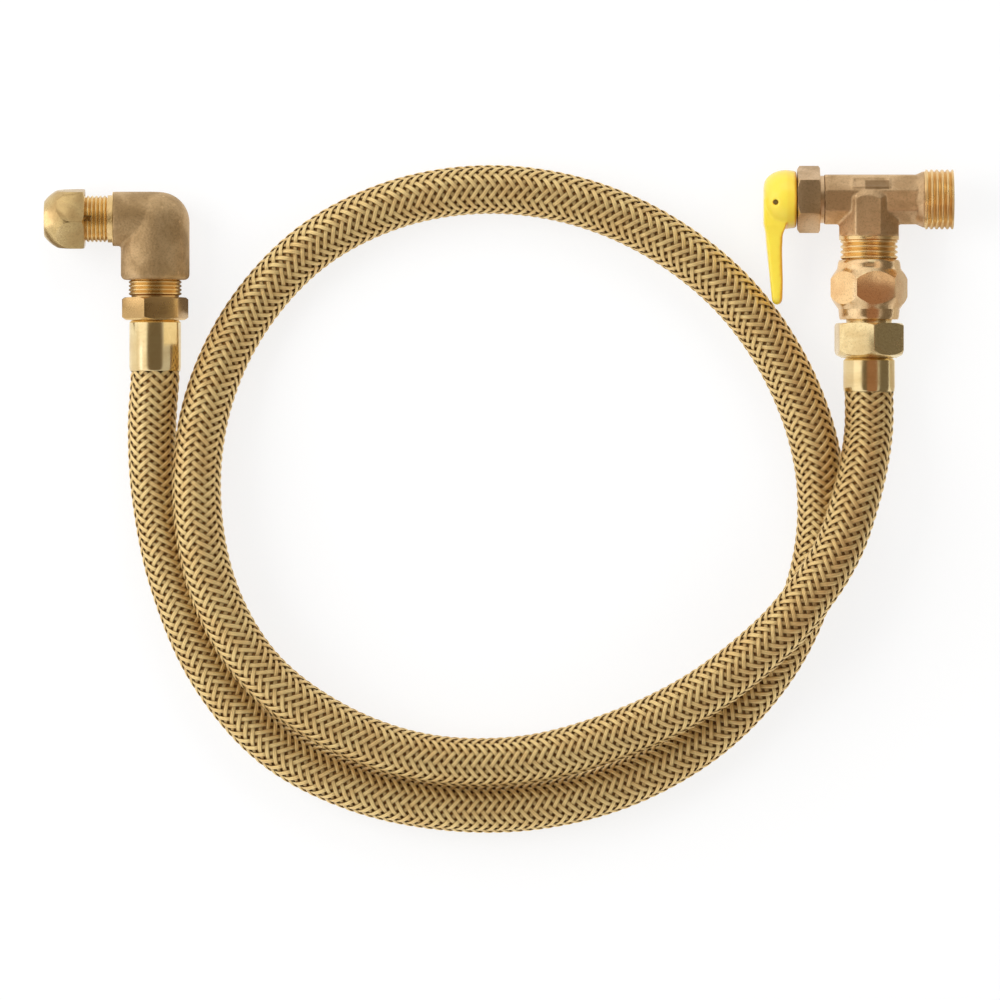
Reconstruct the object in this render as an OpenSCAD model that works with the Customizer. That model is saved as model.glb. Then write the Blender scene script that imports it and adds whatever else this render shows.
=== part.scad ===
// Gas hose assembly: braided hose between a compression elbow and a quarter-turn angle valve.
// It lies on the plane z = 0. +X runs from the elbow to the valve, and the hose loops towards -Y.

/* [Hose] */
// Outside diameter of the braid
hose_od = 17; // [16.4:0.1:17]
// Thickness of the wire braid
braid_wall = 0.7; // [0.5:0.05:0.9]
// Bore of the rubber tube
hose_bore = 10; // [9.8:0.1:10.6]
// Depth by which the crimp squeezes the hose, on the radius
crimp_squeeze = 0.8; // [0.5:0.05:1]

/* [Hose stems] */
// Through passage of both stems
passage_d = 6.4; // [5:0.1:7]
// Diameter of the stem's tail between its barbs
tail_d = 9.1; // [8.6:0.1:9.2]
// Height of a barb on the radius
barb_h = 0.18; // [0.1:0.02:0.2]
// Number of barbs on each tail
barb_count = 3; // [2:1:4]
// Outside diameter of the ferrules
ferrule_d = 17.9; // [17.7:0.1:18.6]
// Length of the ferrule at the elbow
elbow_ferrule_len = 17.5; // [15:0.1:18]
// Length of the ferrule at the valve
valve_ferrule_len = 11.5; // [10.5:0.1:12.5]
// Thickness of the ferrule's inward flange
ferrule_flange = 1.3; // [0.8:0.1:1.6]

/* [Elbow] */
// Diameter of the elbow's leg on the hose side
elbow_leg_d = 23.7; // [22.5:0.1:25]
// Width of the elbow's leg on the tube side, seen from above
elbow_arm_w = 18.8; // [18:0.1:20]
// Height of the elbow's leg on the tube side
elbow_arm_h = 22.6; // [20:0.1:23]
// Distance from the hose axis to the end of the tube-side casting
elbow_arm_len = 14.6; // [13.5:0.1:16]
// Distance from the tube axis to the end of the hose-side casting
elbow_leg_len = 21.1; // [20:0.1:22.5]
// Radius of the elbow's outer corner
elbow_corner_r = 10.5; // [8:0.1:11]
// Height of the outer corner above the tube axis
elbow_crown = 9.3; // [9:0.1:10]
// Depth of the female thread for the hose stem
elbow_socket_depth = 8; // [6:0.1:9]
// Gas passage inside the elbow
elbow_passage_d = 7.6; // [6:0.1:9]

/* [Tube connection] */
// Outside diameter of the compression thread
tube_thread_d = 16; // [15.6:0.1:16.4]
// Pitch of the compression thread
tube_thread_pitch = 1.411; // [1.3:0.001:1.5]
// Length of the compression thread with its shoulder
tube_thread_len = 12.9; // [12:0.1:13.5]
// Diameter of the tube socket, for a 9.5 mm tube
tube_socket_d = 9.7; // [9.5:0.05:9.8]
// Depth of the tube socket
tube_socket_depth = 12; // [9:0.1:13]
// Width of the slot in the thread
thread_slot_w = 1.5; // [1:0.1:2]
// Length of the slot in the thread
thread_slot_len = 5.5; // [4:0.1:6.5]

/* [Compression nut] */
// Hexagon across flats
tube_nut_af = 19.6; // [19:0.1:21]
// Overall length
tube_nut_len = 13.9; // [13:0.1:15]
// Length of thread that the nut covers at rest
tube_nut_grip = 3.2; // [2.5:0.1:4]
// Depth of the nut's threaded bore
tube_nut_thread_depth = 8.3; // [8:0.1:9]
// Radius of the domed nose
tube_nut_dome_r = 13; // [12:0.1:15]
// Diameter of the nose's flat end
tube_nut_nose_d = 12.4; // [11.6:0.1:13.4]
// Length of the sealing sleeve
sleeve_len = 5.4; // [4.5:0.1:5.6]
// Largest diameter of the sealing sleeve
sleeve_d = 13; // [12:0.1:14]

/* [Elbow hose stem] */
// Outside diameter of the stem's thread
stem_thread_d = 18.2; // [17.6:0.1:18.8]
// Pitch of the stem's thread
stem_thread_pitch = 1.337; // [1.2:0.001:1.5]
// Length of the stem's thread outside the elbow
stem_thread_out = 5.3; // [4.5:0.1:6]
// Hexagon across flats
stem_hex_af = 20.2; // [19.6:0.1:22]
// Length of the hexagon
stem_hex_len = 7.8; // [6:0.1:9]
// Width of the undercut between thread and hexagon
stem_undercut = 0.7; // [0.4:0.1:1]

/* [Valve body] */
// Octagonal arms across flats
arm_af = 17; // [16.4:0.1:18]
// Length of the arm on the bonnet side
bonnet_arm_len = 15.5; // [14.8:0.1:17]
// Length of the arm on the inlet side
inlet_arm_len = 16.2; // [15.5:0.1:17.5]
// Length of the cone between inlet arm and thread
inlet_flare_len = 3.1; // [2.5:0.1:3.6]
// Octagonal leg across flats
leg_af = 20.4; // [20:0.1:21.5]
// Length of the cast leg
leg_len = 12.9; // [12.5:0.1:13.5]
// Distance from the leg's axis line to its rounded top
leg_crown = 3; // [2:0.1:6]
// Diameter of the turned ring under the leg
leg_ring_d = 20.7; // [20.2:0.1:21]
// Length of the turned ring
leg_ring_len = 1.1; // [0.8:0.1:1.5]
// Turn of the forging's facets
forge_twist = 4; // [0:1:8]
// Length of the raised panel
panel_len = 13.2; // [10:0.1:14]
// Width of the raised panel
panel_w = 5; // [4:0.1:5.6]
// Height of the raised panel
panel_h = 0.4; // [0.2:0.05:0.6]

/* [Valve threads] */
// Outside diameter of the inlet thread
inlet_thread_d = 20.64; // [20.2:0.01:21]
// Length of the inlet thread
inlet_thread_len = 9.75; // [9:0.05:11]
// Pitch of the inlet and outlet threads
pipe_pitch = 1.814; // [1.6:0.001:2]
// Bore of the inlet
inlet_bore_d = 10; // [8:0.1:11]
// Outside diameter of the outlet thread
outlet_thread_d = 19.8; // [19.4:0.1:20]
// Length of the outlet thread
outlet_thread_len = 13.5; // [12.5:0.1:14]

/* [Union] */
// Swivel nut across flats
union_af = 23.5; // [23:0.1:25]
// Length of the swivel nut
union_len = 20.5; // [19.5:0.1:21]
// Length of outlet thread left bare above the swivel nut
bare_thread_len = 6.9; // [6:0.1:7.5]
// Diameter of the nut's collar on the valve side
union_collar_d = 21.5; // [21.3:0.1:22.4]
// Diameter of the nut's collar on the hose side
union_skirt_d = 20.8; // [20:0.1:21.6]
// Thickness of the union gasket
gasket_t = 1.5; // [1:0.1:2]
// Diameter of the stem's head inside the nut
stem_head_d = 18.6; // [18:0.1:19]
// Length of the stem's head
stem_head_len = 3.4; // [2.8:0.1:3.6]
// Diameter of the stem's neck through the nut
stem_neck_d = 15.8; // [15:0.1:16.4]
// Gap between the swivel nut and the stem's hexagon
neck_gap = 1.3; // [0.8:0.1:1.8]
// Hexagon of the valve-side stem across flats
valve_hex_af = 22.3; // [21.6:0.1:23]
// Length of that hexagon
valve_hex_len = 12; // [11:0.1:13]
// Thickness of the slip washer
slip_washer_t = 0.4; // [0.3:0.05:0.6]

/* [Valve inside] */
// Diameter of the ball
ball_d = 13; // [12.4:0.1:13.2]
// Port through the ball
ball_port_d = 7; // [6:0.1:7.6]
// Width of the slot that the stem drives
ball_slot_w = 2.6; // [2:0.1:3.2]
// Depth of that slot
ball_slot_depth = 2; // [1.8:0.1:2.2]
// Diameter of the stem
spindle_d = 7.2; // [6.8:0.1:7.4]
// Diameter of the stem's blow-out collar
spindle_collar_d = 10.6; // [9.6:0.1:11.4]
// Thickness of the blow-out collar
spindle_collar_t = 1.6; // [1.2:0.1:2]
// Thickness of the stem's ring section
o_ring_t = 1.3; // [1:0.1:1.5]
// Thickness of the thrust washer
thrust_washer_t = 0.8; // [0.6:0.1:1]
// Length of the inlet seat
inlet_seat_len = 1.8; // [1.5:0.1:2]
// Length of the outlet seat
outlet_seat_len = 3.4; // [3:0.1:4]
// Outside diameter of the outlet seat
outlet_seat_d = 10.2; // [9.6:0.1:10.4]

/* [Bonnet] */
// Bonnet hexagon across flats
bonnet_af = 20.2; // [19.6:0.1:21.5]
// Length of the bonnet hexagon
bonnet_hex_len = 7.9; // [7:0.1:9]
// Thickness of the bonnet gasket
bonnet_gasket_t = 1.3; // [1:0.1:1.6]
// Diameter of the bonnet gasket
bonnet_gasket_d = 16.4; // [15.4:0.1:17]

/* [Lever] */
// Diameter of the lever's hub
hub_d = 20.4; // [19.6:0.1:21]
// Thickness of the hub
hub_len = 11.3; // [11:0.1:13]
// Draft on the radius of the hub's straight wall
hub_draft = 0.35; // [0.2:0.05:0.4]
// Reach of the lever from the spindle axis
lever_reach = 36.2; // [32:0.1:36.6]
// Thickness of the lever's arm at its root
arm_root_t = 6.1; // [5.5:0.1:7]
// Thickness of the lever's arm at its tip
arm_tip_t = 3.2; // [2.8:0.1:3.6]
// Width of the lever's arm at its root
arm_root_w = 12.6; // [11:0.1:14]
// Width of the lever's arm at its tip
arm_tip_w = 6.6; // [5.5:0.1:7]
// Depth of the ring-shaped pocket behind the hub
hub_pocket_depth = 5; // [3:0.1:5.5]
// Diameter of the cross pin
pin_d = 1.8; // [1.5:0.1:2.2]
// Depth of the pin's ends below the hub
pin_sink = 1; // [0.5:0.1:1.5]
// Turn of the pin away from upright
pin_tilt = 8; // [0:1:15]

/* [Hidden] */
$fn = 96;

// Clearances between pieces
thread_gap = 0.15;     // a fixed thread in its bore, on the radius
turning_gap = 0.3;     // pieces that turn or slide past each other
shaft_gap = 0.05;      // a shaft in its bore, on the radius
seat_gap = 0.1;        // soft seats and washers against what turns on them
fit_gap = 0.1;         // fixed pieces, one in another

// Places of the two fittings' axes
elbow_x = -118.56;
elbow_y = 20.94;
elbow_z = elbow_leg_d / 2;
valve_x = 127.7;
valve_y = 27.63;
union_turn = -10;
valve_z = hex_r(union_af) * sin(60 - union_turn);

brass_cast = "#b08d5c";
brass_forged = "#a98460";
brass_turned = "#d9a957";
brass_polished = "#e0c080";
braid_gold = "#c9a86a";
rubber_black = "#202020";
seal_white = "#e8e4da";
steel = "#8a8d90";
lever_yellow = "#ffe033";

hose_r = hose_od / 2;
braid_in_r = hose_r - braid_wall;
liner_r = braid_in_r - fit_gap;
bore_r = hose_bore / 2;
tail_r = tail_d / 2;
ferrule_r = ferrule_d / 2;
crimp_r = hose_r - crimp_squeeze;

// Route of the hose axis, from the valve-side ferrule round to the elbow's
route = [
    [127.7, -28.6, valve_z], [127.7, -39, valve_z], [127.5, -52, 14.5], [125.5, -64.8, 18.9],
    [121.8, -78.8, 23.2], [117.1, -91.8, 25.4], [109.1, -105.4, 26.4], [94.5, -123, 26.2],
    [68.6, -143.4, 22.5], [39, -157.6, 18.2], [7.5, -165.7, 16.8], [-26.1, -164.8, 17],
    [-56.7, -153.9, 18.4], [-82.2, -134.6, 20], [-98.1, -107.2, 20.6], [-104, -74.5, 19.8],
    [-100.2, -42.1, 15.5], [-86.8, -12.7, 9.5], [-64.4, 11.5, 8.5], [-35.1, 26.3, 8.5],
    [-3, 31.2, 8.5], [29.2, 26.5, 8.5], [58.9, 12.9, 8.5], [84, -8.5, 8.5],
    [102, -36.8, 8.5], [110.9, -67.9, 8.5], [109.1, -99.8, 8.5], [96.6, -130.2, 8.5],
    [74.7, -155.3, 8.5], [45.9, -172.7, 8.5], [14.3, -181.3, 8.5], [-17.4, -181.9, 8.5],
    [-49.3, -175.2, 8.5], [-77.7, -160.1, 8.5], [-99.3, -134.7, 8.5], [-112.5, -103.6, 8.5],
    [-118.5, -73.9, 8.6], [-119.7, -51, 9.8], [-118.56, -32, elbow_z], [-118.56, -15.6, elbow_z]
];
hose_sides = 12;
rings_per_step = 2;

// ---- Helpers -------------------------------------------------------------------------------

function hex_r(af) = af / 2 / cos(30);
function oct_r(af) = af / 2 / cos(22.5);
function unit(v) = v / norm(v);
function last(v) = v[len(v) - 1];

// Axis frames: a shape drawn upwards along local z is laid along the named direction
module toward_hose() rotate([90, 0, 0]) children();
module toward_tube() rotate([0, -90, 0]) children();
module toward_inlet() rotate([0, 90, 0]) children();
module at_elbow() translate([elbow_x, elbow_y, elbow_z]) children();
module at_valve() translate([valve_x, valve_y, valve_z]) children();

// Solid of revolution from a list of [radius, height] points
module turned(profile) rotate_extrude() polygon(profile);

// Plain bore between two heights
module bore(r, z0, z1) translate([0, 0, z0]) cylinder(r = r, h = z1 - z0);

// Flat ring
module ring(r_out, r_in, z0, z1) difference() {
    bore(r_out, z0, z1);
    bore(r_in, z0 - 1, z1 + 1);
}

// Hexagon prism trimmed by a turned envelope, so its ends have the usual curved chamfers
module trimmed_hex(af, turn, z0, z1, envelope) intersection() {
    rotate(turn) translate([0, 0, z0]) cylinder(r = hex_r(af), h = z1 - z0, $fn = 6);
    turned(envelope);
}

// Outline of a ringed thread: crests and V grooves from z0 to z1, bevelled at both ends
function thread_profile(r, pitch, z0, z1) =
    let (
        depth = 0.5 * pitch,
        crest = 0.3 * pitch,
        count = floor((z1 - z0 - crest) / pitch),
        start = z1 - count * pitch - crest / 2
    )
    concat(
        [[0, z0], [r - depth, z0]],
        [for (i = [0:count]) each [
            [r, start + i * pitch - crest / 2],
            if (i < count) [r, start + i * pitch + crest / 2],
            if (i < count) [r - depth, start + (i + 0.5) * pitch]
        ]],
        [[r, z1 - crest * 0.4], [r - crest * 0.4, z1], [0, z1]]
    );

// ---- Hose ----------------------------------------------------------------------------------

step_len = [for (i = [0:len(route) - 2]) norm(route[i + 1] - route[i])];
heading = [for (i = [0:len(route) - 1])
    i == 0 ? unit(route[1] - route[0])
    : i == len(route) - 1 ? unit(last(route) - route[i - 1])
    : (route[i + 1] - route[i - 1]) / (step_len[i] + step_len[i - 1])
];

// Point of the smooth curve at share t of step i
function along(i, t) =
    (2 * t^3 - 3 * t^2 + 1) * route[i] + (t^3 - 2 * t^2 + t) * step_len[i] * heading[i]
    + (3 * t^2 - 2 * t^3) * route[i + 1] + (t^3 - t^2) * step_len[i] * heading[i + 1];
function axis_points(per_step) = concat(
    [for (i = [0:len(route) - 2]) for (k = [0:per_step - 1]) along(i, k / per_step)],
    [last(route)]
);

hose_axis = axis_points(rings_per_step);
ring_total = len(hose_axis);
ring_dir = [for (i = [0:ring_total - 1])
    i == 0 ? heading[0]
    : i == ring_total - 1 ? last(heading)
    : unit(hose_axis[i + 1] - hose_axis[i - 1])
];

// One ring of the tube: flats face up and down, so that it lies on a flat side
function hose_ring(i, r) =
    let (side = unit(cross([0, 0, 1], ring_dir[i])), up = cross(ring_dir[i], side))
    [for (k = [0:hose_sides - 1])
        let (a = 360 * (k + 0.5) / hose_sides)
        hose_axis[i] + r * (cos(a) * side + sin(a) * up)
    ];

// Squeeze on a ring: full inside the ferrules, none outside them
function squeeze(i) = (i < rings_per_step || i > ring_total - 1 - rings_per_step) ? crimp_squeeze : 0;

// Hollow tube along the hose axis, with an inner radius that may stay unsqueezed
module hose_tube(r_out, r_in, squeeze_in) {
    m = hose_sides;
    outer = [for (i = [0:ring_total - 1]) each hose_ring(i, r_out - squeeze(i))];
    inner = [for (i = [0:ring_total - 1]) each hose_ring(i, r_in - (squeeze_in ? squeeze(i) : 0))];
    base = ring_total * m;
    walls = [for (i = [0:ring_total - 2]) for (k = [0:m - 1])
        let (a = i * m + k, b = i * m + (k + 1) % m, c = b + m, d = a + m)
        each [[a, b, c], [a, c, d], [base + a, base + c, base + b], [base + a, base + d, base + c]]
    ];
    end = (ring_total - 1) * m;
    caps = [for (k = [0:m - 1])
        let (n = (k + 1) % m)
        each [
            [k, base + k, base + n], [k, base + n, n],
            [end + k, end + n, base + end + n], [end + k, base + end + n, base + end + k]
        ]
    ];
    polyhedron(points = concat(outer, inner), faces = concat(walls, caps), convexity = 10);
}

// Least gap between stretches of the hose that are over five diameters apart along it
gap_points = axis_points(4);
gap_span = 5 * hose_od;
gap_at = [for (i = 0, s = 0; i < len(gap_points); s = s + (i < len(gap_points) - 1
    ? norm(gap_points[i + 1] - gap_points[i]) : 0), i = i + 1) s];
function to_segment(p, a, b) =
    let (t = max(0, min(1, (p - a) * (b - a) / ((b - a) * (b - a)))))
    norm(p - a - t * (b - a));
hose_length = last(gap_at);
least_gap = min([for (i = [0:len(gap_points) - 1]) for (j = [0:len(gap_points) - 2])
    if (abs(gap_at[i] - gap_at[j]) > gap_span)
        to_segment(gap_points[i], gap_points[j], gap_points[j + 1])
]) - hose_od;
echo(hose_length = hose_length, least_gap_to_itself = least_gap);

module hose_braid() color(braid_gold) hose_tube(hose_r, braid_in_r, true);
module hose_liner() color(rubber_black) hose_tube(liner_r, bore_r, false);

// ---- Stem tails and ferrules, drawn from the shoulder at z0 ----------------------------------

// Barbed tail with the land that the ferrule's flange grips
module barbed_tail(z0, len) {
    land = tail_r + 2 * barb_h;
    first = z0 + ferrule_flange + 0.6;
    pitch = (len - ferrule_flange - 1.4) / barb_count;
    turned(concat(
        [[0, z0 - 0.5], [land, z0 - 0.5], [land, z0 + ferrule_flange - 0.2], [tail_r, first - 0.3]],
        [for (i = [0:barb_count - 1]) each [
            [tail_r, first + i * pitch],
            [tail_r + barb_h, first + (i + 0.15) * pitch],
            [tail_r, first + (i + 0.9) * pitch]
        ]],
        [[tail_r - 0.5, z0 + len], [0, z0 + len]]
    ));
}

// Crimped ferrule: flange at z0, crimped land, then an inner taper to the mouth
module crimp_ferrule(z0, len) {
    land = tail_r + 2 * barb_h + fit_gap;
    hose_at = z0 + ferrule_flange;
    mouth = z0 + len;
    grip = hose_at + 0.45 * (len - ferrule_flange);
    turned([
        [land, z0], [ferrule_r - 0.8, z0], [ferrule_r, z0 + 0.8],
        [ferrule_r, mouth - 1.6], [ferrule_r - 0.15, mouth - 0.5], [ferrule_r - 0.25, mouth],
        [hose_r + fit_gap, mouth], [crimp_r + fit_gap, grip], [crimp_r + fit_gap, hose_at],
        [land, hose_at]
    ]);
}

// ---- Elbow end -------------------------------------------------------------------------------

tube_thread_r = tube_thread_d / 2;
thread_end = elbow_arm_len + tube_thread_len;
nut_open_end = thread_end - tube_nut_grip;
nut_nose_end = nut_open_end + tube_nut_len;
nut_cone_start = nut_open_end + tube_nut_thread_depth;
tube_hole_r = tube_socket_d / 2 + 0.15;
nut_land = 2.6;
nut_bore_r = tube_thread_r + turning_gap;
nut_corner_r = hex_r(tube_nut_af);

// Domed nose of the compression nut, from its hexagon to its flat end
dome_steps = 10;
dome_fall = nut_corner_r - tube_nut_nose_d / 2;
function dome_point(i) =
    let (a = acos(1 - dome_fall / tube_nut_dome_r) * i / dome_steps)
    [nut_corner_r - tube_nut_dome_r * (1 - cos(a)), nut_nose_end
        - tube_nut_dome_r * (sin(acos(1 - dome_fall / tube_nut_dome_r)) - sin(a)) ];

module compression_nut() color(brass_turned) at_elbow() toward_tube() difference() {
    trimmed_hex(tube_nut_af, -7, nut_open_end, nut_nose_end, concat(
        [[0, nut_open_end], [nut_corner_r - 0.9, nut_open_end], [nut_corner_r, nut_open_end + 0.6]],
        [for (i = [0:dome_steps]) dome_point(i)],
        [[0, nut_nose_end]]
    ));
    turned([
        [0, nut_open_end - 1], [nut_bore_r + 0.5, nut_open_end - 1],
        [nut_bore_r + 0.5, nut_open_end], [nut_bore_r, nut_open_end + 0.5],
        [nut_bore_r, nut_cone_start], [tube_hole_r, nut_nose_end - nut_land],
        [tube_hole_r, nut_nose_end + 1], [0, nut_nose_end + 1]
    ]);
}

sleeve_back = nut_nose_end - nut_land - 1;
sleeve_front = sleeve_back - sleeve_len;
sleeve_bore_r = tube_socket_d / 2 + 0.05;

module tube_sleeve() color(brass_turned) at_elbow() toward_tube() turned([
    [sleeve_bore_r, sleeve_front], [sleeve_bore_r + 0.5, sleeve_front],
    [sleeve_d / 2, sleeve_front + 0.3 * sleeve_len],
    [sleeve_d / 2, sleeve_front + 0.62 * sleeve_len],
    [sleeve_bore_r + 0.5, sleeve_back], [sleeve_bore_r, sleeve_back]
]);

elbow_r = elbow_leg_d / 2;
stem_thread_r = stem_thread_d / 2;
socket_top = elbow_leg_len - elbow_socket_depth;
arm_steps = 48;

// Cast vertical leg: domed over the corner, rounded at its foot
module elbow_leg() toward_hose() turned(concat(
    [[0, -elbow_crown]],
    [for (a = [0:9:90]) [
        elbow_r - elbow_corner_r + elbow_corner_r * sin(a),
        elbow_corner_r - elbow_crown - elbow_corner_r * cos(a)
    ]],
    [for (a = [0:15:75]) [elbow_r - 1.8 * (1 - cos(a)), elbow_leg_len - 1.8 * (1 - sin(a))]],
    [[0, elbow_leg_len]]
));

// Cast arm with an oval section, so that it meets the leg along a slanting crease
module elbow_arm() toward_tube() linear_extrude(elbow_arm_len) polygon([
    for (i = [0:arm_steps - 1]) let (a = 360 * i / arm_steps)
        [elbow_arm_h / 2 * cos(a), elbow_arm_w / 2 * sin(a)]
]);

module elbow_thread() toward_tube() {
    bore(tube_thread_r + 0.2, elbow_arm_len - 1, elbow_arm_len + 1.7);
    bore(tube_thread_r - 0.8, elbow_arm_len, elbow_arm_len + 2.4);
    turned(thread_profile(tube_thread_r, tube_thread_pitch, elbow_arm_len + 2, thread_end));
}

module elbow_body() color(brass_cast) at_elbow() difference() {
    union() {
        elbow_leg();
        elbow_arm();
        elbow_thread();
    }
    toward_tube() {
        bore(elbow_passage_d / 2, 0, thread_end + 1);
        bore(tube_socket_d / 2, thread_end - tube_socket_depth, thread_end + 1);
        turned([
            [0, thread_end - 1.4], [tube_socket_d / 2, thread_end - 1.4],
            [tube_socket_d / 2 + 1.4, thread_end], [tube_socket_d / 2 + 1.4, thread_end + 1],
            [0, thread_end + 1]
        ]);
        translate([tube_thread_r - 1.8, -thread_slot_w / 2, thread_end - thread_slot_len])
            cube([3, thread_slot_w, thread_slot_len + 1]);
    }
    toward_hose() {
        bore(elbow_passage_d / 2, -elbow_passage_d / 2 + 0.4, elbow_leg_len + 1);
        bore(stem_thread_r + thread_gap, socket_top, elbow_leg_len + 1);
    }
}

stem_top = socket_top + 0.5;
stem_hex_top = elbow_leg_len + stem_thread_out + stem_undercut;
elbow_shoulder = stem_hex_top + stem_hex_len;
stem_hex_r = hex_r(stem_hex_af);

stem_root_r = stem_thread_r - 0.9;
stem_thread = thread_profile(stem_thread_r, stem_thread_pitch, 0,
    stem_hex_top - stem_undercut - stem_top);

module elbow_hose_stem() color(brass_turned) at_elbow() toward_hose() difference() {
    union() {
        translate([0, 0, stem_hex_top - stem_undercut]) rotate([180, 0, 0]) turned(concat(
            [[0, -stem_undercut - 1], [stem_root_r, -stem_undercut - 1], [stem_root_r, 0]],
            [for (i = [1:len(stem_thread) - 1]) stem_thread[i]]
        ));
        trimmed_hex(stem_hex_af, -13, stem_hex_top, elbow_shoulder, [
            [0, stem_hex_top], [stem_hex_r - 1.1, stem_hex_top], [stem_hex_r, stem_hex_top + 0.7],
            [stem_hex_r, elbow_shoulder - 1], [stem_hex_r - 1.5, elbow_shoulder], [0, elbow_shoulder]
        ]);
        barbed_tail(elbow_shoulder, elbow_ferrule_len - 1);
    }
    bore(passage_d / 2, 0, elbow_shoulder + elbow_ferrule_len + 1);
}

module elbow_ferrule() color(brass_polished) at_elbow() toward_hose()
    crimp_ferrule(elbow_shoulder + fit_gap, elbow_ferrule_len);

// ---- Valve end: from the body down to the hose -------------------------------------------------

outlet_r = outlet_thread_d / 2;
outlet_thread_start = leg_len + leg_ring_len;
outlet_end = outlet_thread_start + outlet_thread_len;
union_top = outlet_thread_start + bare_thread_len;
union_bottom = union_top + union_len;
gasket_top = outlet_end + fit_gap;
head_top = gasket_top + gasket_t + fit_gap;
head_bottom = head_top + stem_head_len;
slip_top = head_bottom + fit_gap;
union_shoulder = slip_top + slip_washer_t + fit_gap;
valve_hex_top = union_bottom + neck_gap;
valve_shoulder = valve_hex_top + valve_hex_len;
union_r = hex_r(union_af);
valve_hex_r = hex_r(valve_hex_af);

module swivel_nut() color(brass_polished) at_valve() toward_hose() difference() {
    trimmed_hex(union_af, union_turn, union_top, union_bottom, [
        [0, union_top], [union_collar_d / 2 - 0.4, union_top], [union_collar_d / 2, union_top + 0.8],
        [union_collar_d / 2 + 0.3, union_top + 3], [union_r - 1, union_top + 5.2],
        [union_r, union_top + 6.6],
        [union_r, union_top + 12.6], [union_r - 1, union_top + 14.2],
        [union_skirt_d / 2 + 0.2, union_top + 17], [union_skirt_d / 2, union_bottom - 1],
        [union_skirt_d / 2 - 0.3, union_bottom], [0, union_bottom]
    ]);
    bore(outlet_r + thread_gap, union_top - 1, union_shoulder);
    bore(stem_neck_d / 2 + thread_gap, union_top, union_bottom + 1);
}

module slip_washer() color(steel) at_valve() toward_hose()
    ring(outlet_r - fit_gap, stem_neck_d / 2 + thread_gap, slip_top, slip_top + slip_washer_t);

module union_gasket() color(rubber_black) at_valve() toward_hose()
    ring(stem_head_d / 2 - 0.6, outlet_bore_r, gasket_top, gasket_top + gasket_t);

module valve_hose_stem() color(brass_polished) at_valve() toward_hose() difference() {
    union() {
        bore(stem_head_d / 2, head_top, head_bottom);
        bore(stem_neck_d / 2, head_bottom - 1, valve_hex_top + 1);
        trimmed_hex(valve_hex_af, 23.8, valve_hex_top, valve_shoulder, [
            [0, valve_hex_top], [valve_hex_r - 1.4, valve_hex_top],
            [valve_hex_r, valve_hex_top + 0.9], [valve_hex_r, valve_shoulder - 2.6],
            [valve_hex_r - 1.3, valve_shoulder - 1.1], [ferrule_r + 0.5, valve_shoulder],
            [0, valve_shoulder]
        ]);
        barbed_tail(valve_shoulder, valve_ferrule_len - 0.6);
    }
    bore(passage_d / 2, head_top - 1, valve_shoulder + valve_ferrule_len + 1);
}

module valve_ferrule() color(brass_polished) at_valve() toward_hose()
    crimp_ferrule(valve_shoulder + fit_gap, valve_ferrule_len);

// ---- Valve body --------------------------------------------------------------------------------

ball_r = ball_d / 2;
chamber_r = ball_r + 0.2;
inlet_seat_end = ball_r + 0.7;
outlet_bore_r = outlet_seat_d / 2 + fit_gap;
inlet_thread_r = inlet_thread_d / 2;
inlet_thread_start = inlet_arm_len + inlet_flare_len;
inlet_end = inlet_thread_start + inlet_thread_len;

module forged_arms() {
    rotate([forge_twist + 22.5, 0, 0]) toward_tube()
        cylinder(r = oct_r(arm_af), h = bonnet_arm_len, $fn = 8);
    rotate([forge_twist + 22.5, 0, 0]) toward_inlet()
        cylinder(r = oct_r(arm_af), h = inlet_arm_len, $fn = 8);
}

// The leg's eight sides end in a round crown under the arms' top line
module forged_leg() toward_hose() intersection() {
    rotate(forge_twist + 22.5) translate([0, 0, -arm_af / 2])
        cylinder(r = oct_r(leg_af), h = leg_len + arm_af / 2, $fn = 8);
    turned([
        [0, -leg_crown - 3], [oct_r(leg_af) - 5, -leg_crown - 1.6], [oct_r(leg_af) - 2, -leg_crown],
        [oct_r(leg_af), 0], [oct_r(leg_af), leg_len - 0.8], [oct_r(leg_af) - 0.7, leg_len],
        [0, leg_len]
    ]);
}

// Raised frame on the arm's upper facet, with a bare field inside it
module raised_panel() rotate([forge_twist + 45, 0, 0])
    translate([0.4, arm_af / 2, 0]) difference() {
        cube([panel_len, 2 * panel_h, panel_w], center = true);
        translate([0, panel_h, 0])
            cube([panel_len - 1.6, 2 * panel_h - 0.1, panel_w - 1.6], center = true);
    }

module inlet_end_shape() toward_inlet() {
    turned([
        [0, inlet_arm_len - 1], [arm_af / 2 - 0.3, inlet_arm_len - 1],
        [inlet_thread_r - 0.6, inlet_thread_start - 0.6],
        [inlet_thread_r - 0.6, inlet_thread_start + 0.3], [0, inlet_thread_start + 0.3]
    ]);
    turned(thread_profile(inlet_thread_r, pipe_pitch, inlet_thread_start, inlet_end));
}

module outlet_end_shape() toward_hose() {
    bore(leg_ring_d / 2, leg_len - 1, outlet_thread_start);
    turned(thread_profile(outlet_r, pipe_pitch, outlet_thread_start - 0.2, outlet_end));
}

module valve_body() color(brass_forged) at_valve() difference() {
    union() {
        forged_arms();
        forged_leg();
        raised_panel();
        inlet_end_shape();
        outlet_end_shape();
    }
    toward_inlet() {
        bore(inlet_bore_d / 2, 0, inlet_end + 1);
        bore(chamber_r, 0, inlet_seat_end + fit_gap);
    }
    toward_tube() bore(chamber_r, -0.5, bonnet_arm_len + 1);
    toward_hose() bore(outlet_bore_r, 0, outlet_end + 1);
}

module inlet_seat() color(seal_white) at_valve() difference() {
    toward_inlet() ring(ball_r + fit_gap, ball_port_d / 2 + 0.4, inlet_seat_end - inlet_seat_len,
        inlet_seat_end);
    sphere(r = ball_r + seat_gap);
}

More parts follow.
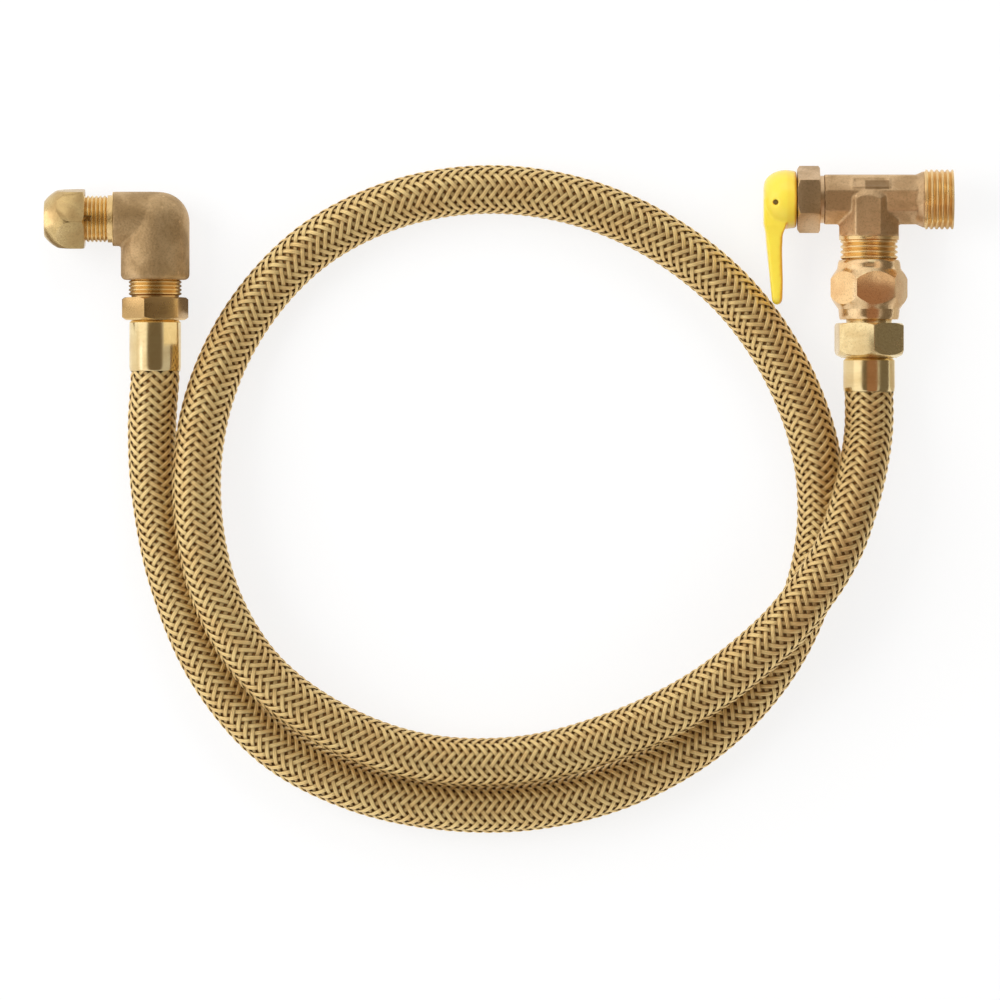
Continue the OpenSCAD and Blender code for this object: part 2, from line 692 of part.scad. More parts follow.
module outlet_seat() color(seal_white) at_valve() difference() {
    toward_hose() ring(outlet_seat_d / 2, ball_port_d / 2 + 0.2, ball_r - 1.9,
        ball_r - 1.9 + outlet_seat_len);
    sphere(r = ball_r + seat_gap);
}

// ---- Ball, spindle and bonnet --------------------------------------------------------------------

spindle_r = spindle_d / 2;
slot_floor = ball_r - ball_slot_depth;
tang_gap = 0.05;
tang_r = spindle_r + 0.4;
collar_start = ball_r + seat_gap;
collar_end = collar_start + spindle_collar_t;
thrust_start = collar_end + seat_gap;
spigot_face = thrust_start + thrust_washer_t + fit_gap;
spigot_end = bonnet_arm_len + fit_gap;
bonnet_face = bonnet_arm_len + bonnet_gasket_t + 2 * fit_gap;
bonnet_end = bonnet_face + bonnet_hex_len - fit_gap;
hub_start = bonnet_end + turning_gap;
hub_end = hub_start + hub_len;
spindle_end = hub_end - 2.6;
pin_at = hub_end - 4;
groove_depth = o_ring_t + shaft_gap / 2;
o_ring_at = [spigot_face + 2.4, spigot_face + 5.6];
flat_w = spindle_d - 1.6;

// Ball with its axial port turned in; the port runs on past the centre to meet the side port
ball_port_r = ball_port_d / 2;
module valve_ball() color(steel) at_valve() difference() {
    toward_inlet() turned(concat(
        [for (a = [-90:5:acos(ball_port_r / ball_r) - 2]) ball_r * [cos(a), sin(a)]],
        [[ball_port_r, sqrt(ball_r^2 - ball_port_r^2)], [ball_port_r, -ball_port_r],
         [0, -ball_port_r]]
    ));
    toward_hose() bore(ball_port_r - 0.2, 0, ball_r + 1);
    translate([-ball_r - 1, -ball_r - 1, -ball_slot_w / 2])
        cube([ball_slot_depth + 1, 2 * ball_r + 2, ball_slot_w]);
}

module valve_stem() color(brass_turned) at_valve() difference() {
    union() {
        intersection() {
            toward_tube() bore(tang_r, slot_floor + tang_gap, collar_start + 0.5);
            translate([-collar_end, -ball_r, -ball_slot_w / 2 + tang_gap])
                cube([collar_end, ball_d, ball_slot_w - 2 * tang_gap]);
        }
        toward_tube() bore(spindle_collar_d / 2, collar_start, collar_end);
        toward_tube() difference() {
            bore(spindle_r, collar_end - 0.5, spindle_end);
            for (z = o_ring_at) ring(spindle_r + 1, spindle_r - groove_depth, z - o_ring_t / 2 - 0.1,
                z + o_ring_t / 2 + 0.1);
        }
    }
    // Two flats that drive the lever
    for (side = [-1, 1])
        translate([-spindle_end - 1, side * (flat_w / 2 + 2) - 2, -ball_r])
            cube([spindle_end + 1 - hub_start - 1, 4, ball_d]);
    cross_pin_hole(pin_d / 2 + fit_gap / 2);
}

// Hole for the cross pin through hub and spindle
module cross_pin_hole(r) translate([-pin_at, 0, 0]) rotate([pin_tilt, 0, 0])
    cylinder(r = r, h = hub_d + 4, center = true, $fn = 32);

module stem_o_rings() color(rubber_black) at_valve() toward_tube()
    for (z = o_ring_at) rotate_extrude() translate([spindle_r + shaft_gap / 2 - o_ring_t / 2, z])
        circle(r = o_ring_t / 2, $fn = 24);

module thrust_washer() color(seal_white) at_valve() toward_tube()
    ring(chamber_r - fit_gap, spindle_r + seat_gap, thrust_start, thrust_start + thrust_washer_t);

module bonnet_nut() color(brass_forged) at_valve() toward_tube() difference() {
    union() {
        bore(chamber_r - fit_gap, spigot_face, bonnet_face + 1);
        trimmed_hex(bonnet_af, 34, bonnet_face, bonnet_end, [
            [0, bonnet_face], [hex_r(bonnet_af) - 0.8, bonnet_face],
            [hex_r(bonnet_af), bonnet_face + 0.5], [hex_r(bonnet_af), bonnet_end - 0.8],
            [hex_r(bonnet_af) - 1.2, bonnet_end], [0, bonnet_end]
        ]);
    }
    bore(spindle_r + shaft_gap, spigot_face - 1, bonnet_end + 1);
}

module bonnet_gasket() color(steel) at_valve() toward_tube()
    ring(bonnet_gasket_d / 2, chamber_r, spigot_end, spigot_end + bonnet_gasket_t);

// ---- Lever -----------------------------------------------------------------------------------------

hub_r = hub_d / 2;
hub_face_r = 4.4;
boss_r = spindle_r + 2.2;
arm_inner = hub_end - arm_root_t;

// Domed hub: its outer face rounds over to the full diameter, and the wall below tapers to the bonnet
module hub_shape() toward_tube() turned(concat(
    [[0, hub_start], [hub_r - hub_draft - 0.5, hub_start], [hub_r - hub_draft, hub_start + 0.5]],
    [for (a = [0:9:90]) [
        hub_face_r + (hub_r - hub_face_r) * cos(a),
        hub_start + 3.5 + (hub_len - 3.5) * sin(a)
    ]],
    [[0, hub_end]]
));

// Side outline of the arm: outer edge runs down the face, then sweeps in to the round tip
module arm_outline() {
    tip = arm_tip_t / 2;
    polygon(concat(
        [[-hub_end, 0], [-hub_end, -8.5], [-hub_end + 0.8, -12]],
        [for (a = [180:20:360]) [-arm_inner - tip + tip * cos(a) + 0.2, -lever_reach + tip + tip * sin(a)]],
        [[-arm_inner + 0.3, -28], [-arm_inner, -17], [-arm_inner + 0.3, -12.4],
         [-arm_inner + 1.6, -9.2], [-arm_inner + 1.6, 0]]
    ));
}

// Face outline of the arm: wide at the hub, narrower at the tip
module arm_face() {
    tip_r = arm_tip_w / 2;
    polygon(concat(
        [[0, arm_root_w / 2], [-9, arm_root_w / 2], [-13, arm_root_w / 2 - 0.9]],
        [for (a = [90:-15:-90]) [-lever_reach + tip_r - tip_r * cos(a), tip_r * sin(a)]],
        [[-13, -arm_root_w / 2 + 0.9], [-9, -arm_root_w / 2], [0, -arm_root_w / 2]]
    ));
}

module lever() color(lever_yellow) at_valve() difference() {
    union() {
        hub_shape();
        intersection() {
            translate([0, 0, -hub_r]) linear_extrude(hub_d) arm_outline();
            translate([-hub_end - 1, 0, 0]) rotate([0, 90, 0]) linear_extrude(hub_len + 2)
                rotate(90) arm_face();
        }
    }
    toward_tube() {
        // ring-shaped pocket between the rim and the boss
        ring(hub_r - 1.7, boss_r, hub_start - 1, hub_start + hub_pocket_depth);
        intersection() {
            bore(spindle_r + shaft_gap, hub_start - 1, spindle_end + 0.2);
            union() {
                bore(spindle_r + 1, hub_start - 1, hub_start + 1);
                translate([-ball_r, -flat_w / 2 - tang_gap, hub_start])
                    cube([ball_d, flat_w + 2 * tang_gap, hub_len]);
            }
        }
    }
    cross_pin_hole(pin_d / 2 + fit_gap / 2);
}

pin_len = 2 * (hub_face_r + (hub_r - hub_face_r) * sqrt(1 - ((pin_at - hub_start - 3.5)
    / (hub_len - 3.5))^2) - pin_sink);

module lever_pin() color(steel) at_valve() translate([-pin_at, 0, 0]) rotate([pin_tilt, 0, 0])
    cylinder(r = pin_d / 2, h = pin_len, center = true, $fn = 32);

compression_nut();
tube_sleeve();
elbow_body();
elbow_hose_stem();
elbow_ferrule();
hose_braid();
hose_liner();
valve_ferrule();
valve_hose_stem();
swivel_nut();
slip_washer();
union_gasket();
valve_body();
bonnet_nut();
bonnet_gasket();
valve_stem();
valve_ball();
inlet_seat();
outlet_seat();
stem_o_rings();
thrust_washer();
lever();
lever_pin();
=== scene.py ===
"""Looks of the gas hose assembly: braided hose, cast elbow and quarter-turn angle valve.

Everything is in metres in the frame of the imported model: z = 0 is the surface that the
assembly lies on, +X runs from the elbow to the valve, and the hose loops towards -Y.
"""

from __future__ import annotations

import logging
import math
from dataclasses import dataclass, field
from enum import Enum
from typing import Callable, Sequence

import bpy
import numpy as np
from mathutils import Matrix, Vector

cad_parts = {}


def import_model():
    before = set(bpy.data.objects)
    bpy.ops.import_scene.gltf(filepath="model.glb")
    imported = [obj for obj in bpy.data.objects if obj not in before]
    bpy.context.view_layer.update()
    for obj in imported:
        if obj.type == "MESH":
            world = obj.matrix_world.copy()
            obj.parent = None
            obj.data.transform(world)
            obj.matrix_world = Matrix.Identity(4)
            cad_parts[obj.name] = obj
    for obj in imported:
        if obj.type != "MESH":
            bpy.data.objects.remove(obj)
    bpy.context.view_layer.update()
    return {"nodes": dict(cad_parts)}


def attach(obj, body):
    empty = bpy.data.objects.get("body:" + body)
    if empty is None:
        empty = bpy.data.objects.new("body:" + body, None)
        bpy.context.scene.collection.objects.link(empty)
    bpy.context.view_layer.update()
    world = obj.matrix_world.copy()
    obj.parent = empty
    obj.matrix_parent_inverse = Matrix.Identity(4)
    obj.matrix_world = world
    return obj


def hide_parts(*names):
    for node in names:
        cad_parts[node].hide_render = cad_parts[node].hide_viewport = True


LOG = logging.getLogger("gas_hose")

MM = 0.001
Point = tuple[float, float, float]
Colour = tuple[float, float, float]
Piece = bpy.types.Object
Tree = bpy.types.NodeTree
Node = bpy.types.Node
Socket = bpy.types.NodeSocket
Material = bpy.types.Material
Finishes = dict[str, bpy.types.Material]


class Body(str, Enum):
    """Moving groups of the assembly."""

    HOSE = "hose_assembly"
    LEVER = "lever_set"
    SLEEVE = "sealing_sleeve"
    NUT = "tube_nut"


class Slot(str, Enum):
    """Material slots of the part's record."""

    CAST = "brass_cast"
    FORGED = "brass_forged"
    TURNED = "brass_turned"
    POLISHED = "brass_polished"
    BRAID = "braid"
    RUBBER = "rubber"
    SEAL = "seal"
    STEEL = "steel"
    YELLOW = "lever_yellow"


def linear(red: int, green: int, blue: int) -> Colour:
    """Linear colour of an sRGB one with channels from 0 to 255."""
    shares = (value / 255 for value in (red, green, blue))
    return tuple(s / 12.92 if s <= 0.04045 else ((s + 0.055) / 1.055) ** 2.4 for s in shares)


def scaled(colour: Colour, factor: float) -> Colour:
    """Colour with each channel times a factor."""
    return tuple(channel * factor for channel in colour)


# ---- Shader building blocks ------------------------------


class NodeBuilder:
    """Adds shader nodes to one tree and links them."""

    def __init__(self, tree: Tree) -> None:
        """Keeps the tree that the nodes go into."""
        self.tree = tree

    def add(self, kind: str, inputs: dict | None = None, **settings: object) -> Node:
        """Adds a node.

        Args:
            kind: The shader node's type name, without its prefix.
            inputs: Socket name or number to a value, or to the socket that feeds it.
            settings: The node's own properties.

        Returns:
            The new node.
        """
        node = self.tree.nodes.new(f"ShaderNode{kind}")
        for name, value in settings.items():
            setattr(node, name, value)
        self.feed(node, inputs or {})
        return node

    def feed(self, node: Node, inputs: dict) -> None:
        """Sets or links a node's inputs, with full alpha where a colour has none.

        Args:
            node: The node.
            inputs: Socket name or number to a value, or to the socket that feeds it.
        """
        for key, value in inputs.items():
            socket = node.inputs[key]
            if isinstance(value, Socket):
                self.tree.links.new(value, socket)
            elif socket.type == "RGBA" and len(value) == 3:
                socket.default_value = (*value, 1.0)
            else:
                socket.default_value = value

    def math(self, operation: str, *values: object, clamp: bool = False) -> Socket:
        """Value of a Math node on numbers or sockets."""
        inputs = dict(enumerate(values))
        return self.add("Math", inputs, operation=operation, use_clamp=clamp).outputs[0]

    def times(self, first: object, second: object) -> Socket:
        """Product of two numbers or sockets."""
        return self.math("MULTIPLY", first, second)

    def ramp(self, value: object, low: float, high: float,
             out: tuple[float, float] = (0.0, 1.0)) -> Socket:
        """Value mapped from low..high to the out range, with soft ends."""
        inputs = {0: value, 1: low, 2: high, 3: out[0], 4: out[1]}
        return self.add("MapRange", inputs, interpolation_type="SMOOTHSTEP").outputs[0]

    def close(self, inputs: dict) -> None:
        """Ends a material with a Principled shader on these inputs."""
        shader = self.add("BsdfPrincipled", inputs)
        self.add("OutputMaterial", {"Surface": shader.outputs[0]})

    def group(self, tree: Tree, inputs: dict) -> Sequence:
        """Outputs of a shader group on these inputs."""
        return self.add("Group", inputs, node_tree=tree).outputs

    def blend(self, share: object, first: Node, second: Node) -> Node:
        """Mix of two shaders."""
        return self.add("MixShader", {0: share, 1: first.outputs[0], 2: second.outputs[0]})

    def mix(self, share: object, first: object, second: object) -> Socket:
        """Mix of two colours."""
        inputs = {0: share, 6: first, 7: second}
        return self.add("Mix", inputs, data_type="RGBA").outputs[2]


def blank_material(name: str) -> tuple[Material, NodeBuilder]:
    """New material with an empty node tree, and the builder of its nodes.

    Args:
        name: The material's name.

    Returns:
        The material and its builder.
    """
    material = bpy.data.materials.new(name)
    material.use_nodes = True
    material.node_tree.nodes.clear()
    return material, NodeBuilder(material.node_tree)


def new_group(name: str, values: dict[str, float],
              outputs: Sequence[str]) -> tuple[NodeBuilder, Sequence, Node]:
    """Makes an empty shader group that reads a place and some values.

    Args:
        name: The group's name.
        values: Name of each value that it reads beside the place, with its default.
        outputs: Names of the values that it gives.

    Returns:
        The tree's builder, the sockets that give its inputs, and its output node.
    """
    tree = bpy.data.node_groups.new(name, "ShaderNodeTree")
    tree.interface.new_socket("Place", in_out="INPUT", socket_type="NodeSocketVector")
    for label, default in values.items():
        socket = tree.interface.new_socket(label, in_out="INPUT", socket_type="NodeSocketFloat")
        socket.default_value = default
    for label in outputs:
        tree.interface.new_socket(label, in_out="OUTPUT", socket_type="NodeSocketFloat")
    build = NodeBuilder(tree)
    source = tree.nodes.new("NodeGroupInput")
    target = tree.nodes.new("NodeGroupOutput")
    return build, source.outputs, target


def turning_marks() -> Tree:
    """Fine rings that a lathe leaves round local Z, as a height and a mask.

    Returns:
        The shader group.
    """
    build, given, target = new_group("turning_marks", {"Density": 9000.0}, ("Height", "Mask"))
    parts = build.add("SeparateXYZ", {0: given["Place"]}).outputs
    radius = build.math("SQRT", build.math("ADD", build.times(parts[0], parts[0]),
                                           build.times(parts[1], parts[1])))
    where = build.times(build.math("ADD", radius, parts[2]), given["Density"])
    fine = build.add("TexNoise", {"W": where, "Scale": 1.0, "Detail": 2.0},
                     noise_dimensions="1D").outputs[0]
    broad = build.add("TexNoise", {"W": where, "Scale": 0.13, "Detail": 1.0},
                      noise_dimensions="1D").outputs[0]
    build.feed(target, {"Height": fine, "Mask": broad})
    return build.tree


def casting_grain() -> Tree:
    """Sandy skin of a casting or forging, as a height and a mask of its dark pits.

    Returns:
        The shader group.
    """
    build, given, target = new_group("casting_grain", {"Scale": 1400.0}, ("Height", "Pits"))
    place, scale = given["Place"], given["Scale"]
    grain = build.add("TexNoise", {"Vector": place, "Scale": scale, "Detail": 4.0,
                                             "Roughness": 0.65}).outputs[0]
    cells = build.add("TexVoronoi", {
        "Vector": place, "Scale": build.times(scale, 0.8)}).outputs["Distance"]
    height = build.math("ADD", grain, build.times(cells, 0.55))
    build.feed(target, {"Height": height, "Pits": build.ramp(grain, 0.36, 0.52, (1.0, 0.0))})
    return build.tree


def edge_wear() -> Tree:
    """Where a piece's edges are rubbed bright and where its concave corners are darker, as two masks.

    Returns:
        The shader group.
    """
    build, given, target = new_group("edge_wear", {"Amount": 1.0}, ("Worn", "Dirt"))
    sharp = build.add("NewGeometry").outputs["Pointiness"]
    patchy = build.add("TexNoise", {"Vector": given["Place"], "Scale": 260.0,
                                              "Detail": 3.0}).outputs[0]
    worn = build.times(build.ramp(sharp, 0.52, 0.60), build.ramp(patchy, 0.35, 0.6, (0.45, 1.0)))
    dirt = build.times(build.ramp(sharp, 0.40, 0.48, (1.0, 0.0)),
                       build.ramp(patchy, 0.3, 0.6, (0.5, 1.0)))
    build.feed(target, {"Worn": build.times(worn, given["Amount"]),
                        "Dirt": build.times(dirt, given["Amount"])})
    return build.tree


def tarnish() -> Tree:
    """Broad soft patches where brass has gone duller, as one mask.

    Returns:
        The shader group.
    """
    build, given, target = new_group("tarnish", {"Scale": 90.0}, ("Mask",))
    cloud = build.add("TexNoise", {
        "Vector": given["Place"], "Scale": given["Scale"], "Detail": 5.0,
        "Roughness": 0.6, "Distortion": 0.6}).outputs[0]
    build.feed(target, {"Mask": build.ramp(cloud, 0.38, 0.66)})
    return build.tree


class Effects:
    """Shader groups shared by the finishes, each built once."""

    def __init__(self) -> None:
        """Builds the four groups."""
        self.turning = turning_marks()
        self.grain = casting_grain()
        self.wear = edge_wear()
        self.tarnish = tarnish()


# ---- Finishes --------------------------------------------


class Skin(Enum):
    """How a brass surface was made."""

    LATHE = "turned on a lathe"
    MOULD = "cast or forged"


@dataclass(frozen=True)
class Brass:
    """Brass with the skin that casting, forging or turning leaves.

    The turning rings run round the given axis through the given centre. A darkened box,
    given by its middle and its half sizes, darkens the skin inside it.
    """

    name: str
    colour: Colour
    dull: Colour
    roughness: float
    skin: Skin
    relief: float
    centre: Point = (0.0, 0.0, 0.0)
    turn: Point = (0.0, 0.0, 0.0)
    wear: float = 0.6
    darkened_box: tuple[Point, Point] | None = None
    darkened_box_depth: float = 0.62
    darkened_box_share: float = 0.8
    darkened_box_blur: float = 0.3 * MM

    def build(self, effects: Effects) -> Material:
        """Makes the material.

        Args:
            effects: The shared shader groups.

        Returns:
            The new material.
        """
        material, make = blank_material(self.name)
        coords = make.add("TexCoord").outputs["Object"]
        place = make.add("Mapping", {
            "Vector": coords, "Location": self.centre, "Rotation": self.turn},
            vector_type="TEXTURE").outputs[0]
        patches = make.group(effects.tarnish, {"Place": coords})
        rubbed = make.group(effects.wear, {"Place": coords, "Amount": self.wear})
        if self.skin is Skin.LATHE:
            marks = make.group(effects.turning, {"Place": place})
            speckle, spread = marks["Mask"], 0.10
        else:
            marks = make.group(effects.grain, {"Place": coords})
            speckle, spread = marks["Pits"], 0.22
        base = make.mix(make.times(patches["Mask"], 0.55), self.colour, self.dull)
        base = make.mix(make.times(speckle, spread), base, scaled(self.dull, 0.45))
        base = make.mix(rubbed["Worn"], base,
                        tuple(min(1.0, channel) for channel in scaled(self.colour, 1.25)))
        # Darker in concave corners and creases
        base = make.mix(make.times(rubbed["Dirt"], 0.7), base, scaled(self.dull, 0.3))
        # Darker inside the box; on the elbow's tube thread it is painted shade in the slot
        if self.darkened_box:
            base = make.mix(self.darkened_box_mask(make, coords), base, scaled(self.dull, self.darkened_box_depth))
        rough = make.math("ADD", make.times(patches["Mask"], 0.10), self.roughness)
        rough = make.math("SUBTRACT", rough, make.times(rubbed["Worn"], 0.12))
        bump = make.add("Bump", {"Height": marks["Height"], "Strength": 1.0,
                                           "Distance": self.relief}).outputs[0]
        make.close({"Base Color": base, "Metallic": 1.0, "Roughness": rough, "Normal": bump})
        return material

    def darkened_box_mask(self, make: NodeBuilder, coords: Socket) -> Socket:
        """Mask of the darkened box, with soft edges.

        Args:
            make: The material's builder.
            coords: Object coordinates.

        Returns:
            The mask.
        """
        middle, half = self.darkened_box
        parts = make.add("SeparateXYZ", {0: coords}).outputs
        share: object = self.darkened_box_share
        for axis in range(3):
            away = make.math("ABSOLUTE", make.math("SUBTRACT", parts[axis], middle[axis]))
            inside = make.ramp(away, half[axis] - self.darkened_box_blur, half[axis] + self.darkened_box_blur,
                               (1.0, 0.0))
            share = make.times(share, inside)
        return share


@dataclass(frozen=True)
class Wire:
    """Brass-plated braid wire, with the grooves between the wires of one flat bundle.

    The crown is the middle of the strand's outer face on its UV map.
    """

    name: str = "braid_wire"
    colour: Colour = linear(255, 226, 160)
    dull: Colour = linear(236, 192, 124)
    # Colour and strength of the painted shade where the strand dives under and on its flanks
    dirt: Colour = linear(120, 76, 30)
    painted_weave_shade: float = 0.36
    roughness: float = 0.46
    metallic: float = 0.85
    wires: float = 6.0
    crown: float = 0.3125
    groove: float = 0.11 * MM

    def build(self, effects: Effects) -> Material:
        """Makes the material.

        The strand's UV map gives the place along the weave (whole numbers where the strand
        lies highest) and the place round its section. Its colour holds painted shade: darker in
        the grooves between the wires, where the strand dives under the crossing strands, and on
        its flanks away from the crown.

        Args:
            effects: The shared shader groups.

        Returns:
            The new material.
        """
        material, make = blank_material(self.name)
        coords = make.add("TexCoord")
        parts = make.add("SeparateXYZ", {0: coords.outputs["UV"]}).outputs
        wave = make.math("ABSOLUTE",
                         make.math("SINE", make.times(parts[1], self.wires * math.pi)))
        patches = make.group(effects.tarnish, {"Place": coords.outputs["Object"], "Scale": 140.0})
        base = make.mix(make.times(patches["Mask"], 0.45), self.colour, self.dull)
        # Painted shade in the grooves between the wires
        base = make.mix(make.ramp(wave, 0.05, 0.45, (0.4, 0.0)), base, scaled(self.dull, 0.3))
        # Painted shade where the strand dives under the crossing strands and on its flanks
        lift = make.math("COSINE", make.times(parts[0], 2 * math.pi))
        flank = make.math("ABSOLUTE", make.math("SUBTRACT", parts[1], self.crown))
        painted_weave_shade = make.math("MAXIMUM", make.ramp(lift, -0.5, 0.6, (self.painted_weave_shade, 0.0)),
                          make.ramp(flank, 0.2, 0.3, (0.0, self.painted_weave_shade)))
        base = make.mix(painted_weave_shade, base, self.dirt)
        bump = make.add("Bump", {"Height": make.math("POWER", wave, 0.6),
                                           "Strength": 1.0, "Distance": self.groove}).outputs[0]
        make.close({"Base Color": base, "Metallic": self.metallic, "Roughness": self.roughness,
                    "Normal": bump})
        return material


@dataclass(frozen=True)
class Moulded:
    """Plain plastic, rubber or painted surface with a faint moulded grain."""

    name: str
    colour: Colour
    shade: Colour
    roughness: float
    coat: float = 0.0
    subsurface: float = 0.0
    relief: float = 0.01 * MM
    metallic: float = 0.0
    # A side colour is painted shade and painted reflection of the brass on the side that faces the
    # valve
    side: Colour | None = None

    def build(self, effects: Effects) -> Material:
        """Makes the material; a side colour, painted shade and painted reflection of the brass, tints
        what the mesh's valve_side value marks.

        Args:
            effects: The shared shader groups.

        Returns:
            The new material.
        """
        material, make = blank_material(self.name)
        coords = make.add("TexCoord").outputs["Object"]
        marks = make.group(effects.grain, {"Place": coords, "Scale": 1600.0})
        patches = make.group(effects.tarnish, {"Place": coords, "Scale": 60.0})
        base = make.mix(make.times(patches["Mask"], 0.35), self.colour, self.shade)
        if self.side:
            marked = make.add("Attribute", attribute_name="valve_side").outputs["Fac"]
            base = make.mix(make.ramp(marked, -0.05, 0.55, (0.0, 0.95)), base, self.side)
        bump = make.add("Bump", {"Height": marks["Height"], "Strength": 0.6,
                                           "Distance": self.relief}).outputs[0]
        make.close({"Base Color": base, "Roughness": self.roughness, "Coat Weight": self.coat,
                    "Metallic": self.metallic, "Normal": bump, "Coat Roughness": 0.08,
                    "Subsurface Weight": self.subsurface, "Subsurface Scale": 2 * MM})
        return material


# ---- Modelling helpers -----------------------------------

# Points nearer than these are joined: in a swept seam, and in a solid's loose triangles
SEAM_GAP = 1e-7
WELD_GAP = 2e-6
FLAT_ANGLE = math.radians(0.4)
SHARP_ANGLE = math.radians(28)
SMOOTH_ANGLE = math.radians(32)
THREAD_EASE = 0.12 * MM


def select_only(*pieces: Piece) -> None:
    """Deselects everything, then selects these pieces and makes the first one active.

    Args:
        pieces: The pieces to select.
    """
    if bpy.context.object and bpy.context.object.mode != "OBJECT":
        bpy.ops.object.mode_set(mode="OBJECT")
    bpy.ops.object.select_all(action="DESELECT")
    for piece in pieces:
        piece.select_set(True)
    bpy.context.view_layer.objects.active = pieces[0]


def placed(name: str, data: bpy.types.ID) -> Piece:
    """New object in the scene, at the origin.

    Args:
        name: The object's name.
        data: Its mesh, curve, lamp or camera.

    Returns:
        The object.
    """
    thing = bpy.data.objects.new(name, data)
    bpy.context.scene.collection.objects.link(thing)
    return thing


def paint(piece: Piece, material: Material) -> None:
    """Makes a material the piece's only one."""
    piece.data.materials.clear()
    piece.data.materials.append(material)


def apply_modifier(piece: Piece, kind: str, **settings: object) -> None:
    """Adds a modifier with these settings and applies it.

    Args:
        piece: The piece.
        kind: The modifier's type.
        settings: Its properties.
    """
    select_only(piece)
    modifier = piece.modifiers.new(kind.lower(), kind)
    for name, value in settings.items():
        setattr(modifier, name, value)
    bpy.ops.object.modifier_apply(modifier=modifier.name)


def finish_piece(piece: Piece, material: Material, body: Body, slot: Slot,
                 *replaced: str) -> Piece:
    """Gives a piece its finish, its body and the solids it stands for.

    Args:
        piece: The finished piece, with its place in its mesh.
        material: Its material.
        body: The body it moves with.
        slot: The record's material slot; not used.
        replaced: Names of the solids that it stands for.

    Returns:
        The piece.
    """
    paint(piece, material)
    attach(piece, body.value)
    if replaced:
        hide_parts(*replaced)
    LOG.info("%s: %d faces, on %s", piece.name, len(getattr(piece.data, "polygons", ())),
             body.value)
    return piece


def warped_grid(name: str, along: int, around: int,
                place: Callable[[np.ndarray, np.ndarray], np.ndarray]) -> Piece:
    """Lays a flat grid onto a swept surface, and closes its seams.

    Args:
        name: The piece's name.
        along: Number of steps along the sweep.
        around: Number of steps round the section.
        place: Gives the points for arrays of shares (0 to 1) along and around.

    Returns:
        The new piece, at the origin.
    """
    bpy.ops.mesh.primitive_grid_add(x_subdivisions=along, y_subdivisions=around, size=2.0,
                                    calc_uvs=True)
    piece = bpy.context.active_object
    piece.name = piece.data.name = name
    flat = np.empty(len(piece.data.vertices) * 3)
    piece.data.vertices.foreach_get("co", flat)
    flat = flat.reshape(-1, 3)
    points = place((flat[:, 0] + 1) / 2, (flat[:, 1] + 1) / 2)
    piece.data.vertices.foreach_set("co", points.ravel())
    piece.data.update()
    bpy.ops.object.mode_set(mode="EDIT")
    bpy.ops.mesh.select_all(action="SELECT")
    bpy.ops.mesh.remove_doubles(threshold=SEAM_GAP)
    bpy.ops.mesh.normals_make_consistent(inside=False)
    bpy.ops.object.mode_set(mode="OBJECT")
    bpy.ops.object.shade_smooth()
    return piece


def copy_of(node: str, name: str) -> Piece:
    """Copy of a solid with its triangles joined and its flat faces made whole.

    Args:
        node: The solid's name.
        name: The copy's name.

    Returns:
        The copy, at the origin.
    """
    source = bpy.data.objects[node]
    piece = placed(name, source.data.copy())
    piece.data.name = name
    select_only(piece)
    bpy.ops.object.mode_set(mode="EDIT")
    bpy.ops.mesh.select_all(action="SELECT")
    bpy.ops.mesh.customdata_custom_splitnormals_clear()
    bpy.ops.mesh.remove_doubles(threshold=WELD_GAP)
    bpy.ops.mesh.dissolve_limited(angle_limit=FLAT_ANGLE)
    bpy.ops.object.mode_set(mode="OBJECT")
    return piece


def eased(piece: Piece, width: float) -> Piece:
    """Rounds a piece's sharp edges and smooths its shading.

    Args:
        piece: The piece to ease.
        width: Width of the rounding.

    Returns:
        The piece.
    """
    apply_modifier(piece, "BEVEL", width=width, segments=2, limit_method="ANGLE",
                   angle_limit=SHARP_ANGLE, use_clamp_overlap=True)
    select_only(piece)
    bpy.ops.object.shade_smooth_by_angle(angle=SMOOTH_ANGLE)
    return piece


def softened(piece: Piece, voxel: float, rounds: int) -> Piece:
    """Remeshes a piece and relaxes it, as a mould rounds every edge.

    Args:
        piece: The piece to soften.
        voxel: Size of the new mesh's cells.
        rounds: Number of smoothing rounds.

    Returns:
        The piece.
    """
    apply_modifier(piece, "REMESH", mode="VOXEL", voxel_size=voxel, use_smooth_shade=True)
    apply_modifier(piece, "SMOOTH", iterations=rounds, factor=0.5)
    select_only(piece)
    bpy.ops.object.shade_smooth()
    return piece


def cut_away(piece: Piece, point: Point, normal: Point) -> Piece:
    """Removes what lies on the normal's side of a plane and closes the cut.

    Args:
        piece: The piece to cut.
        point: A point of the plane.
        normal: Its normal, towards what goes.

    Returns:
        The piece.
    """
    select_only(piece)
    bpy.ops.object.mode_set(mode="EDIT")
    bpy.ops.mesh.select_all(action="SELECT")
    bpy.ops.mesh.bisect(plane_co=point, plane_no=normal, use_fill=True, clear_outer=True)
    bpy.ops.object.mode_set(mode="OBJECT")
    return piece


def thread_of(node: str, name: str, point: Point, normal: Point) -> Piece:
    """Copy of a solid's threaded end, cut off at a plane, with its edges eased."""
    return eased(cut_away(copy_of(node, name), point, normal), THREAD_EASE)


# ---- Hose ------------------------------------------------

